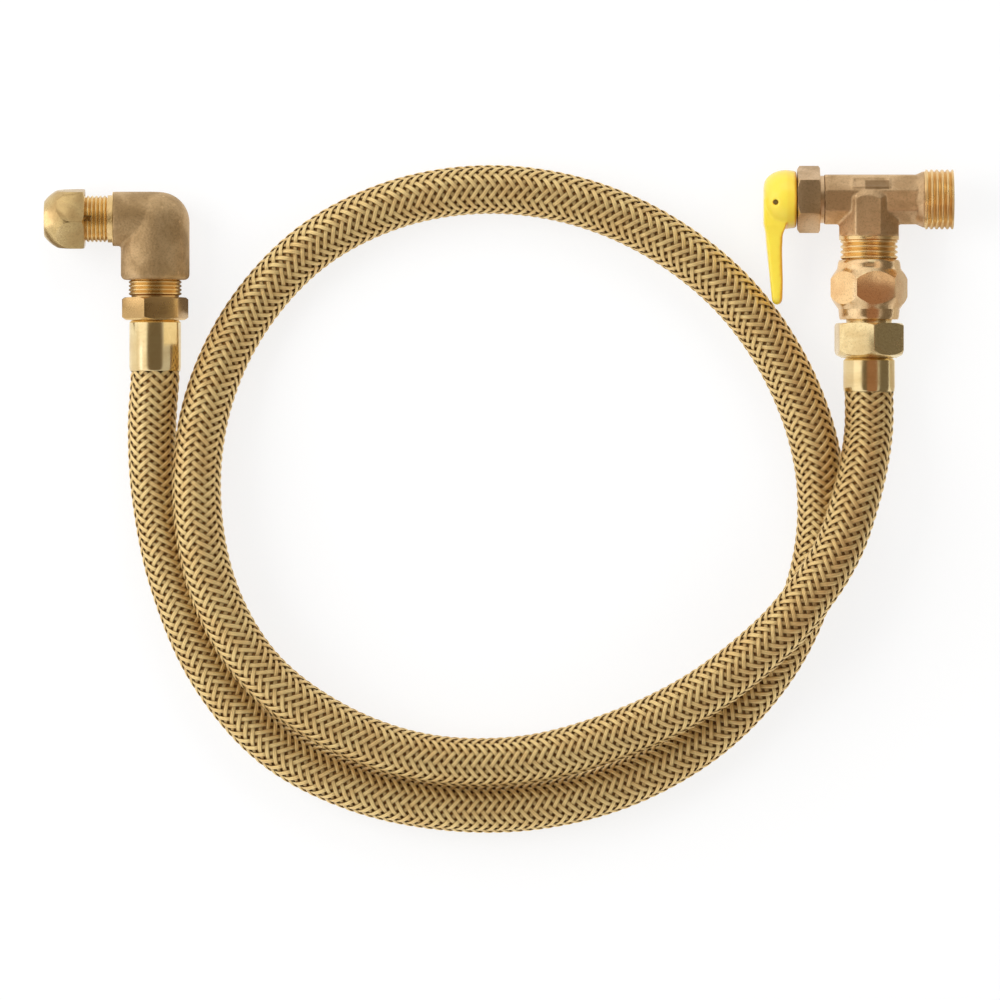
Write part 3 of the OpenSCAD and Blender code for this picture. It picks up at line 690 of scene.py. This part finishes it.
VALVE_Z = 12.75
ELBOW_Z = 11.85
ROUTE_MM: tuple[Point, ...] = (
    (127.7, -28.6, VALVE_Z), (127.7, -39, VALVE_Z), (127.5, -52, 14.5), (125.5, -64.8, 18.9),
    (121.8, -78.8, 23.2), (117.1, -91.8, 25.4), (109.1, -105.4, 26.4), (94.5, -123, 26.2),
    (68.6, -143.4, 22.5), (39, -157.6, 18.2), (7.5, -165.7, 16.8), (-26.1, -164.8, 17),
    (-56.7, -153.9, 18.4), (-82.2, -134.6, 20), (-98.1, -107.2, 20.6), (-104, -74.5, 19.8),
    (-100.2, -42.1, 15.5), (-86.8, -12.7, 9.5), (-64.4, 11.5, 8.5), (-35.1, 26.3, 8.5),
    (-3, 31.2, 8.5), (29.2, 26.5, 8.5), (58.9, 12.9, 8.5), (84, -8.5, 8.5),
    (102, -36.8, 8.5), (110.9, -67.9, 8.5), (109.1, -99.8, 8.5), (96.6, -130.2, 8.5),
    (74.7, -155.3, 8.5), (45.9, -172.7, 8.5), (14.3, -181.3, 8.5), (-17.4, -181.9, 8.5),
    (-49.3, -175.2, 8.5), (-77.7, -160.1, 8.5), (-99.3, -134.7, 8.5), (-112.5, -103.6, 8.5),
    (-118.5, -73.9, 8.6), (-119.7, -51, 9.8), (-118.56, -32, ELBOW_Z), (-118.56, -15.6, ELBOW_Z),
)


class HoseLine:
    """Smooth centreline of the hose, with a steady frame along it."""

    def __init__(self, route_mm: Sequence[Point], steps: int = 60) -> None:
        """Samples the curve through the route's points.

        Args:
            route_mm: Points of the route in millimetres.
            steps: Samples between two points.
        """
        knots = np.array(route_mm, float) * MM
        gaps = np.linalg.norm(np.diff(knots, axis=0), axis=1)
        slopes = np.zeros_like(knots)
        slopes[0] = (knots[1] - knots[0]) / gaps[0]
        slopes[-1] = (knots[-1] - knots[-2]) / gaps[-1]
        slopes[1:-1] = (knots[2:] - knots[:-2]) / (gaps[1:] + gaps[:-1])[:, None]
        t = (np.arange(steps) / steps)[:, None]
        spans = [
            (2 * t**3 - 3 * t**2 + 1) * knots[i] + (t**3 - 2 * t**2 + t) * gaps[i] * slopes[i]
            + (3 * t**2 - 2 * t**3) * knots[i + 1] + (t**3 - t**2) * gaps[i] * slopes[i + 1]
            for i in range(len(knots) - 1)
        ]
        self.points = np.vstack([*spans, knots[-1:]])
        self.at = np.r_[0, np.cumsum(np.linalg.norm(np.diff(self.points, axis=0), axis=1))]
        heading = np.gradient(self.points, self.at, axis=0)
        heading /= np.linalg.norm(heading, axis=1)[:, None]
        self.side = np.cross([0, 0, 1], heading)
        self.side /= np.linalg.norm(self.side, axis=1)[:, None]
        self.up = np.cross(heading, self.side)

    @property
    def length(self) -> float:
        """Length of the whole centreline."""
        return float(self.at[-1])

    def sample(self, where: np.ndarray, values: np.ndarray) -> np.ndarray:
        """Values of one of the line's arrays at these distances along it."""
        return np.stack([np.interp(where, self.at, values[:, k]) for k in range(3)], axis=-1)

    def around(self, where: np.ndarray, angle: np.ndarray, radius: np.ndarray) -> np.ndarray:
        """Points at these distances, angles and radii round the line.

        Args:
            where: Distances along the line.
            angle: Angles round it.
            radius: Distances from it.

        Returns:
            The points.
        """
        side = self.sample(where, self.side)
        up = self.sample(where, self.up)
        return (self.sample(where, self.points)
                + radius[:, None] * (np.cos(angle)[:, None] * side + np.sin(angle)[:, None] * up))


class Lay(Enum):
    """Which way a braid strand winds."""

    RIGHT = 1
    LEFT = -1


@dataclass
class Hose:
    """Rubber tube in a two-over-two braid of flat wire bundles."""

    outer_radius: float = 8.5 * MM
    tube_radius: float = 7.46 * MM
    carriers: int = 12
    lead: float = 39.4 * MM
    strand_width: float = 1.5 * MM
    strand_thickness: float = 0.44 * MM
    wave: float = 0.28 * MM
    valve_mouth: float = 10.1 * MM
    elbow_mouth: float = 16.0 * MM
    hidden: float = 2.6 * MM
    crimp: float = 0.2
    samples_per_wave: int = 9
    line: HoseLine = field(default_factory=lambda: HoseLine(ROUTE_MM))

    @property
    def start(self) -> float:
        """Where the braid starts, inside the valve's ferrule."""
        return self.valve_mouth - self.hidden

    @property
    def end(self) -> float:
        """Where the braid ends, inside the elbow's ferrule."""
        return self.line.length - self.elbow_mouth + self.hidden

    def crimped(self, where: np.ndarray) -> np.ndarray:
        """How far the two ferrules draw in the braid at these distances along the line."""
        into = np.maximum(self.valve_mouth - where,
                          where - (self.line.length - self.elbow_mouth))
        return self.crimp * np.clip(into, 0, None)

    def tube(self, material: Material) -> Piece:
        """Rubber tube under the braid, as a curve along the hose's line.

        Args:
            material: Its material.

        Returns:
            The tube.
        """
        curve = bpy.data.curves.new("rubber_tube", "CURVE")
        curve.dimensions = "3D"
        curve.bevel_depth = self.tube_radius
        curve.bevel_resolution = 5
        curve.use_fill_caps = True
        count = 360
        where = np.linspace(self.start, self.end, count)
        spline = curve.splines.new("POLY")
        spline.points.add(count - 1)
        places = self.line.sample(where, self.line.points)
        spline.points.foreach_set("co", np.c_[places, np.ones(count)].ravel())
        thin = 1 - self.crimped(where) / self.tube_radius
        spline.points.foreach_set("radius", thin)
        piece = placed("rubber_tube", curve)
        return finish_piece(piece, material, Body.HOSE, Slot.RUBBER, "hose_liner")

    def strand(self, lay: Lay, number: int) -> Piece:
        """One flat bundle of wires, wound and woven over two and under two.

        Args:
            lay: Which way it winds.
            number: Its carrier's number.

        Returns:
            The strand.
        """
        middle = self.outer_radius - self.wave - self.strand_thickness / 2
        slant = math.atan2(2 * math.pi * middle, self.lead)
        waves = (self.end - self.start) / (self.lead / 6)
        along = int(waves * self.samples_per_wave)
        section = np.array([(-1, 0), (-0.78, 0.62), (-0.3, 1), (0.3, 1), (0.78, 0.62), (1, 0),
                            (0.55, -1), (-0.55, -1), (-1, 0)], float)
        around = len(section) - 1

        def place(u: np.ndarray, v: np.ndarray) -> np.ndarray:
            """Points of the strand's skin.

            Args:
                u: Shares along the strand.
                v: Shares round its section.

            Returns:
                The points.
            """
            row = np.rint(v * around).astype(int)
            across = section[row, 0] * self.strand_width / 2
            lift = section[row, 1] * self.strand_thickness / 2
            where = self.start + u * (self.end - self.start)
            turn = (2 * math.pi * number / self.carriers
                    + lay.value * 2 * math.pi * where / self.lead)
            column = 2 * self.carriers * turn / (2 * math.pi)
            weave = np.clip(1.12 * np.cos(math.pi * (column - 0.5) / 2), -1, 1)
            radius = middle + lay.value * self.wave * weave + lift - self.crimped(where)
            return self.line.around(
                np.clip(where - across * math.sin(slant) * lay.value, 0, self.line.length),
                turn + across * math.cos(slant) / middle, radius)

        piece = warped_grid(f"strand_{lay.name.lower()}_{number}", along, around, place)
        self.map_weave(piece, lay, number)
        return piece

    def map_weave(self, piece: Piece, lay: Lay, number: int) -> None:
        """Turns the UV map's first value into the place along the weave.

        Args:
            piece: The strand.
            lay: Which way it winds.
            number: Its carrier's number.
        """
        layer = piece.data.uv_layers.active.data
        flat = np.empty(len(layer) * 2, dtype=np.float32)
        layer.foreach_get("uv", flat)
        where = self.start + flat[0::2] * (self.end - self.start)
        column = 2 * number + lay.value * 2 * self.carriers * where / self.lead
        flat[0::2] = (column - 0.5) / 4 + (0.0 if lay is Lay.RIGHT else 0.5)
        layer.foreach_set("uv", flat)

    def braid(self, material: Material) -> list[Piece]:
        """All strands, joined into four pieces.

        Args:
            material: Their material.

        Returns:
            The four pieces.
        """
        pieces = []
        half = self.carriers // 2
        for lay in Lay:
            for part in range(2):
                strands = [self.strand(lay, n) for n in range(part * half, (part + 1) * half)]
                select_only(*strands)
                bpy.ops.object.join()
                piece = bpy.context.active_object
                piece.name = piece.data.name = f"braid_{lay.name.lower()}_{part + 1}"
                pieces.append(finish_piece(piece, material, Body.HOSE, Slot.BRAID, "hose_braid"))
        return pieces

    def build(self, rubber: Material, wire: Material) -> None:
        """Args:
            rubber: The tube's material.
            wire: The braid's material.
        """
        tube = self.tube(rubber)
        braid = self.braid(wire)
        mouth = self.line.sample(np.array([self.valve_mouth]), self.line.points)[0]


# ---- Fittings --------------------------------------------

ELBOW_AXIS: Point = (-118.56 * MM, 20.94 * MM, ELBOW_Z * MM)
VALVE_AXIS: Point = (127.7 * MM, 27.63 * MM, VALVE_Z * MM)
ALONG_Y: Point = (math.pi / 2, 0.0, 0.0)
ALONG_X: Point = (0.0, math.pi / 2, 0.0)


@dataclass(frozen=True)
class Dressed:
    """A rigid piece that takes its shape from one solid."""

    node: str
    name: str
    finish: str
    slot: Slot
    ease: float
    body: Body = Body.HOSE

    def build(self, materials: Finishes) -> None:
        """Makes an eased copy of the solid in its finish."""
        piece = eased(copy_of(self.node, self.name), self.ease)
        finish_piece(piece, materials[self.finish], self.body, self.slot, self.node)


@dataclass
class ElbowEnd:
    """Cast elbow with its compression fitting, hose stem and ferrule."""

    arm_end: float = ELBOW_AXIS[0] - 14.6 * MM
    overlap: float = 0.3 * MM
    voxel: float = 0.4 * MM
    slot_middle: Point = (-145.3 * MM, ELBOW_AXIS[1], ELBOW_AXIS[2] + 6.5 * MM)
    slot_size: Point = (9.4 * MM, 1.3 * MM, 5.0 * MM)

    def casting(self, material: Material) -> None:
        """Sand-cast elbow, up to the end of its arm.

        Args:
            material: Its material.
        """
        piece = cut_away(copy_of("elbow_body", "elbow_casting"),
                         (self.arm_end, 0.0, 0.0), (-1.0, 0.0, 0.0))
        softened(piece, self.voxel, rounds=6)
        finish_piece(piece, material, Body.HOSE, Slot.CAST, "elbow_body")

    def tube_thread(self, material: Material) -> None:
        """Slotted compression thread with its shoulder.

        Args:
            material: Its material.
        """
        piece = thread_of("elbow_body", "elbow_tube_thread",
                          (self.arm_end + self.overlap, 0.0, 0.0), (1.0, 0.0, 0.0))
        self.cut_slot(piece)
        finish_piece(piece, material, Body.HOSE, Slot.TURNED, "elbow_body")

    def cut_slot(self, piece: Piece) -> None:
        """Cuts the thread's slot through to the tube socket.

        Args:
            piece: The thread.
        """
        bpy.ops.mesh.primitive_cube_add(size=1.0)
        cutter = bpy.context.active_object
        cutter.data.transform(Matrix.LocRotScale(Vector(self.slot_middle), None,
                                                 Vector(self.slot_size)))
        apply_modifier(piece, "BOOLEAN", operation="DIFFERENCE", solver="EXACT", object=cutter)
        bpy.data.objects.remove(cutter, do_unlink=True)

    def build(self, materials: Finishes) -> None:
        """Makes the elbow end's pieces.

        Args:
            materials: Finish name to material.
        """
        self.casting(materials["elbow_cast"])
        self.tube_thread(materials["tube_thread"])
        for piece in (
            Dressed("compression_nut", "tube_nut_dressed", "nut_x", Slot.TURNED, 0.25 * MM, Body.NUT),
            Dressed("elbow_hose_stem", "elbow_stem_dressed", "turned_elbow", Slot.TURNED, 0.16 * MM),
            Dressed("elbow_ferrule", "elbow_ferrule_dressed", "polished_elbow", Slot.POLISHED,
                    0.15 * MM),
        ):
            piece.build(materials)


@dataclass
class ValveEnd:
    """Forged valve body with its bonnet, union nut, hose stem and ferrule."""

    voxel: float = 0.36 * MM
    inlet_cut: float = VALVE_AXIS[0] + 19.1 * MM
    outlet_cut: float = VALVE_AXIS[1] - 12.9 * MM
    overlap: float = 0.2 * MM

    def forging(self, material: Material) -> None:
        """Forged body between its two threads.

        Args:
            material: Its material.
        """
        piece = cut_away(copy_of("valve_body", "valve_forging"),
                         (self.inlet_cut, 0.0, 0.0), (1.0, 0.0, 0.0))
        cut_away(piece, (0.0, self.outlet_cut, 0.0), (0.0, -1.0, 0.0))
        softened(piece, self.voxel, rounds=3)
        finish_piece(piece, material, Body.HOSE, Slot.FORGED, "valve_body")

    def threads(self, inlet: Material, outlet: Material) -> None:
        """Turned inlet and outlet threads.

        Args:
            inlet: The inlet thread's material.
            outlet: The outlet thread's.
        """
        for name, point, normal, material in (
            ("inlet_thread", (self.inlet_cut - self.overlap, 0.0, 0.0), (-1.0, 0.0, 0.0), inlet),
            ("outlet_thread", (0.0, self.outlet_cut + self.overlap, 0.0), (0.0, 1.0, 0.0), outlet),
        ):
            piece = thread_of("valve_body", name, point, normal)
            finish_piece(piece, material, Body.HOSE, Slot.TURNED, "valve_body")

    def build(self, materials: Finishes) -> None:
        """Makes the valve end's pieces.

        Args:
            materials: Finish name to material.
        """
        self.forging(materials["valve_forged"])
        self.threads(materials["turned_x"], materials["turned_valve"])
        for piece in (
            Dressed("bonnet_nut", "bonnet_nut_dressed", "bonnet_forged", Slot.FORGED, 0.2 * MM),
            Dressed("swivel_nut", "union_nut_dressed", "union_nut", Slot.POLISHED, 0.2 * MM),
            Dressed("valve_hose_stem", "valve_stem_hex_dressed", "polished_hex", Slot.POLISHED,
                    0.2 * MM),
            Dressed("valve_ferrule", "valve_ferrule_dressed", "polished_valve", Slot.POLISHED,
                    0.15 * MM),
        ):
            piece.build(materials)


@dataclass
class Lever:
    """Yellow quarter-turn lever with its cross pin.

    Over the fade the rounding of the arm sets in, and the fill makes up for what it takes.
    """

    voxel: float = 0.35 * MM
    arm_start: float = VALVE_AXIS[1] - 10.0 * MM
    fade: float = 5.0 * MM
    rounds: int = 26
    fill: float = 0.22 * MM

    def round_arm(self, piece: Piece) -> None:
        """Rounds the arm's edges until its section is an oval, and keeps its width.

        Args:
            piece: The lever.
        """
        group = piece.vertex_groups.new(name="arm")
        for vertex in piece.data.vertices:
            share = (self.arm_start - vertex.co.y) / self.fade
            if share > 0:
                group.add([vertex.index], min(share, 1.0), "REPLACE")
        apply_modifier(piece, "SMOOTH", iterations=self.rounds, factor=0.5, vertex_group="arm")
        apply_modifier(piece, "DISPLACE", strength=self.fill, mid_level=0.0, vertex_group="arm")

    def mark_valve_side(self, piece: Piece) -> None:
        """Notes for each point how far it faces the valve body, where the lever gets painted shade and
        painted reflection of the brass.

        Args:
            piece: The lever.
        """
        facing = np.empty(len(piece.data.vertices) * 3, dtype=np.float32)
        piece.data.vertex_normals.foreach_get("vector", facing)
        marks = piece.data.attributes.new("valve_side", "FLOAT", "POINT")
        marks.data.foreach_set("value", facing[0::3].copy())

    def build(self, materials: Finishes) -> None:
        """Makes the lever and its pin.

        Args:
            materials: Finish name to material.
        """
        piece = softened(copy_of("lever", "lever_moulding"), self.voxel, rounds=8)
        self.round_arm(piece)
        self.mark_valve_side(piece)
        finish_piece(piece, materials["lever_plastic"], Body.LEVER, Slot.YELLOW, "lever")
        Dressed("lever_pin", "lever_pin_dressed", "dark_steel", Slot.STEEL, 0.2 * MM,
                Body.LEVER).build(materials)


# ---- Studio ----------------------------------------------


@dataclass(frozen=True)
class Softbox:
    """A square lamp aimed at the middle of the assembly, unseen in the brass."""

    name: str
    place: Point
    size: float
    power: float
    colour: Colour = (1.0, 1.0, 1.0)

    def build(self, target: Vector) -> None:
        """Adds the lamp.

        Args:
            target: The point that it shines at.
        """
        data = bpy.data.lights.new(self.name, "AREA")
        data.shape, data.size, data.energy, data.color = "SQUARE", self.size, self.power, self.colour
        lamp = placed(self.name, data)
        lamp.location = self.place
        lamp.rotation_euler = (target - Vector(self.place)).to_track_quat("-Z", "Y").to_euler()
        lamp.visible_camera = False
        lamp.visible_glossy = False


@dataclass(frozen=True)
class Card:
    """A one-sided card near the brass that shows in its reflections and nowhere else."""

    name: str
    place: Point
    size: tuple[float, float]
    turn: Point
    glow: Colour

    def build(self) -> None:
        """Adds the card, which neither lights nor shades anything else."""
        bpy.ops.mesh.primitive_plane_add(size=1.0, location=self.place, rotation=self.turn)
        card = bpy.context.active_object
        card.name, card.scale = self.name, (*self.size, 1.0)
        material, make = blank_material(self.name)
        glow = make.add("Emission", {"Color": self.glow, "Strength": 1.0})
        clear = make.add("BsdfTransparent")
        back = make.add("NewGeometry").outputs["Backfacing"]
        face = make.blend(back, glow, clear)
        make.add("OutputMaterial", {"Surface": face.outputs[0]})
        paint(card, material)
        card.visible_camera = card.visible_diffuse = card.visible_shadow = False
        card.visible_transmission = False


@dataclass
class Studio:
    """Pale floor, soft lamps, surroundings and the camera.

    The glow share is how much of the floor shows as plain light instead of shaded paper. The
    fill lights what is dull, and the ceiling shows in the brass.
    """

    middle: Point = (0.4 * MM, -76.04 * MM, 12 * MM)
    frame_width: float = 345 * MM
    lens: float = 360.0
    sensor: float = 36.0
    floor_gap: float = 0.15 * MM
    paper: float = 0.86
    paper_glow: float = 1.07
    glow_share: float = 0.72
    ceiling: float = 0.17
    fill: float = 0.38

    def camera(self) -> None:
        """Camera straight above, far off, so that it sees almost without perspective."""
        data = bpy.data.cameras.new("camera")
        data.lens, data.sensor_width = self.lens, self.sensor
        distance = self.frame_width * self.lens / self.sensor
        data.clip_start, data.clip_end = 0.1, 60.0
        camera = placed("camera", data)
        camera.location = (self.middle[0], self.middle[1], self.middle[2] + distance)
        bpy.context.scene.camera = camera

    def floor(self) -> None:
        """White floor that keeps the assembly's soft shadow."""
        bpy.ops.mesh.primitive_plane_add(size=9.0, location=(0.0, 0.0, -self.floor_gap))
        plane = bpy.context.active_object
        plane.name = "floor"
        material, make = blank_material("floor_paper")
        paper = make.add("BsdfDiffuse", {"Color": (self.paper,) * 3})
        glow = make.add("Emission", {"Color": (1, 1, 1), "Strength": self.paper_glow})
        path = make.add("LightPath").outputs
        seen = make.math("ADD", path["Is Camera Ray"], path["Is Glossy Ray"], clamp=True)
        seen = make.math("ADD", seen, path["Is Transmission Ray"], clamp=True)
        face = make.blend(make.times(seen, self.glow_share), paper, glow)
        make.add("OutputMaterial", {"Surface": face.outputs[0]})
        paint(plane, material)

    def surroundings(self) -> None:
        """White world; brass sees a dark ceiling, and walls that are brightest on the left."""
        world = bpy.data.worlds.new("studio")
        bpy.context.scene.world = world
        world.use_nodes = True
        world.node_tree.nodes.clear()
        make = NodeBuilder(world.node_tree)
        way = make.add("TexCoord").outputs["Generated"]
        parts = make.add("SeparateXYZ", {0: way}).outputs
        left = make.ramp(parts[0], -0.9, 0.5, (1.25, 0.62))
        front = make.ramp(parts[1], -0.9, 0.9, (0.85, 1.05))
        height = make.ramp(parts[2], 0.0, 0.4, (0.78, 1.0))
        level = make.times(make.times(left, front), height)
        walls = make.add("Background", {"Color": (1, 0.97, 0.93), "Strength": level})
        ceiling = make.add("Background", {"Color": (1, 0.8, 0.56), "Strength": self.ceiling})
        shine = make.blend(make.ramp(parts[2], 0.76, 0.87), walls, ceiling)
        path = make.add("LightPath").outputs
        soft = make.add("Background", {"Color": (1, 1, 1), "Strength": self.fill})
        white = make.add("Background", {"Color": (1, 1, 1), "Strength": 1.0})
        glossy = make.blend(path["Is Glossy Ray"], soft, shine)
        seen = make.math("ADD", path["Is Camera Ray"], path["Is Transmission Ray"], clamp=True)
        shown = make.blend(seen, glossy, white)
        make.add("OutputWorld", {"Surface": shown.outputs[0]})

    def build(self) -> None:
        """Sets up the whole studio."""
        self.camera()
        self.floor()
        self.surroundings()
        target = Vector(self.middle)
        for lamp in (
            Softbox("key_lamp", (-1.0, 0.15, 0.85), 1.1, 12.5),
            Softbox("side_lamp", (1.05, 0.1, 0.75), 0.8, 3.6, (1.0, 0.96, 0.9)),
            Softbox("back_lamp", (0.1, 1.15, 0.8), 0.9, 6.4),
            Softbox("front_lamp", (0.0, -1.4, 0.8), 0.9, 3.2),
        ):
            lamp.build(target)
        up, down, right, left = (
            (0.0, 0.0, 0.0), (math.pi, 0.0, 0.0), (0.0, math.pi / 2, 0.0), (0.0, -math.pi / 2, 0.0))
        # Each card glows only in the brass's reflections, so each is a painted reflection: the dark
        # ones paint shade into the brass, the floor cards stand in for the shadowed floor next to the
        # parts, and the brightest ones paint highlights
        for card in (
            Card("side_card", (0.25, 0.0, 0.07), (0.13, 0.5), left, (0.18, 0.155, 0.12)),
            Card("right_floor_card", (0.18, -0.01, 0.001), (0.07, 0.07), up, (0.60, 0.54, 0.46)),
            Card("left_floor_card", (-0.16, -0.0015, 0.001), (0.07, 0.018), up, (0.34, 0.28, 0.21)),
            Card("gap_floor_card", (-0.097, -0.002, 0.001), (0.024, 0.02), up, (0.22, 0.18, 0.14)),
            Card("valve_card", (0.144, -0.092, 0.08), (0.058, 0.196), down, (0.33, 0.18, 0.11)),
            Card("outlet_card", (0.1277, 0.012, 0.07), (0.03, 0.011), down, (0.8, 0.58, 0.42)),
            Card("body_card", (0.122, 0.0276, 0.08), (0.046, 0.02), down, (0.23, 0.185, 0.13)),
            Card("inlet_card", (0.158, 0.0276, 0.07), (0.024, 0.05), down, (0.95, 0.8, 0.66)),
            Card("thread_card", (-0.1375, 0.021, 0.06), (0.014, 0.05), down, (0.42, 0.34, 0.23)),
            Card("union_card", (0.1095, -0.001, 0.012), (0.024, 0.02), right, (1.1, 1.0, 0.86)),
            Card("right_gap_card", (0.1135, -0.026, 0.011), (0.022, 0.024), right, (0.9, 0.85, 0.8)),
            Card("left_gap_card", (-0.1035, -0.012, 0.0235), (0.021, 0.02), left, (1, 0.9, 0.7)),
            Card("stripe_card", (-0.166, -0.037, 0.04), (0.012, 0.036), right, (1.8, 1.9, 2.3)),
            Card("nose_card", (-0.2, 0.021, 0.02), (0.04, 0.036), right, (2.1, 2.1, 2.2)),
        ):
            card.build()
        bpy.context.scene.view_settings.view_transform = "Standard"


def finishes(effects: Effects) -> Finishes:
    """All materials of the assembly.

    Args:
        effects: The shared shader groups.

    Returns:
        Finish name to material.
    """
    tan, tan_dull = linear(230, 196, 152), linear(176, 140, 97)
    gold, gold_dull = linear(240, 207, 146), linear(212, 170, 110)
    fresh, fresh_dull = linear(250, 218, 160), linear(228, 186, 126)
    pale, pale_dull = linear(244, 222, 170), linear(220, 188, 130)
    pink, pink_dull = linear(246, 214, 166), linear(222, 178, 128)
    brasses = (
        Brass("elbow_cast", linear(214, 183, 138), linear(168, 138, 94), 0.56, Skin.MOULD, 0.00012),
        # Darker on a recessed flat of the body
        Brass("valve_forged", tan, tan_dull, 0.42, Skin.MOULD, 0.00005,
              darkened_box=((0.1302, 0.0325, 0.02), (0.0041, 0.0016, 0.01))),
        Brass("bonnet_forged", linear(216, 184, 144), linear(168, 138, 96), 0.36, Skin.MOULD, 0.00003),
        Brass("turned_x", fresh, fresh_dull, 0.26, Skin.LATHE, 0.00002, VALVE_AXIS, ALONG_X),
        # Its darkened box is painted shade inside the thread's slot
        Brass("tube_thread", gold, gold_dull, 0.26, Skin.LATHE, 0.00002, VALVE_AXIS, ALONG_X,
              darkened_box=((-0.1453, 0.02094, 0.0175), (0.0048, 0.0008, 0.006)), darkened_box_depth=0.08),
        Brass("nut_x", linear(214, 186, 130), linear(190, 154, 102), 0.26, Skin.MOULD, 0.00002),
        # Darker on the stem between the ferrule and the elbow
        Brass("turned_elbow", gold, gold_dull, 0.24, Skin.LATHE, 0.00002, ELBOW_AXIS, ALONG_Y,
              darkened_box=((-0.1186, -0.0093, 0.0118), (0.014, 0.0042, 0.014)), darkened_box_depth=0.78),
        Brass("turned_valve", fresh, fresh_dull, 0.24, Skin.LATHE, 0.00002, VALVE_AXIS, ALONG_Y),
        Brass("polished_elbow", pale, pale_dull, 0.13, Skin.LATHE, 0.000006, ELBOW_AXIS, ALONG_Y),
        Brass("polished_valve", pale, pale_dull, 0.13, Skin.LATHE, 0.000006, VALVE_AXIS, ALONG_Y),
        Brass("polished_hex", pale, pale_dull, 0.22, Skin.MOULD, 0.00001),
        Brass("union_nut", pink, pink_dull, 0.2, Skin.MOULD, 0.00001),
    )
    plain = (
        # The lever's amber side colour is painted shade and painted reflection of the brass
        Moulded("lever_plastic", linear(250, 224, 74), linear(242, 208, 60), 0.32, 0.35, 0.08,
                side=linear(234, 170, 36)),
        Moulded("dark_steel", linear(138, 120, 72), linear(112, 96, 58), 0.5, metallic=0.5),
        # The rubber is coloured lighter, painted light that shows in the braid's gaps where little
        # light reaches the tube
        Moulded("rubber", linear(132, 92, 40), linear(108, 74, 32), 0.8),
        Moulded("seal_white", linear(226, 220, 206), linear(214, 206, 190), 0.5),
    )
    made = {finish.name: finish.build(effects) for finish in (*brasses, *plain)}
    made["braid_wire"] = Wire().build(effects)
    return made


KEPT_SOLIDS: dict[str, str] = {
    "tube_sleeve": "turned_x", "slip_washer": "dark_steel", "union_gasket": "rubber",
    "bonnet_gasket": "bonnet_forged", "valve_stem": "turned_x", "valve_ball": "dark_steel",
    "inlet_seat": "seal_white", "outlet_seat": "seal_white", "stem_o_rings": "rubber",
    "thrust_washer": "seal_white",
}


def main() -> None:
    """Builds the studio and the assembly, and writes how large it came out."""
    logging.basicConfig(level=logging.INFO, format="%(message)s")
    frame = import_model()
    Studio().build()
    materials = finishes(Effects())
    Hose().build(materials["rubber"], materials["braid_wire"])
    ElbowEnd().build(materials)
    ValveEnd().build(materials)
    Lever().build(materials)
    for node, finish in KEPT_SOLIDS.items():
        paint(frame["nodes"][node], materials[finish])


if __name__ == "__main__":
    main()
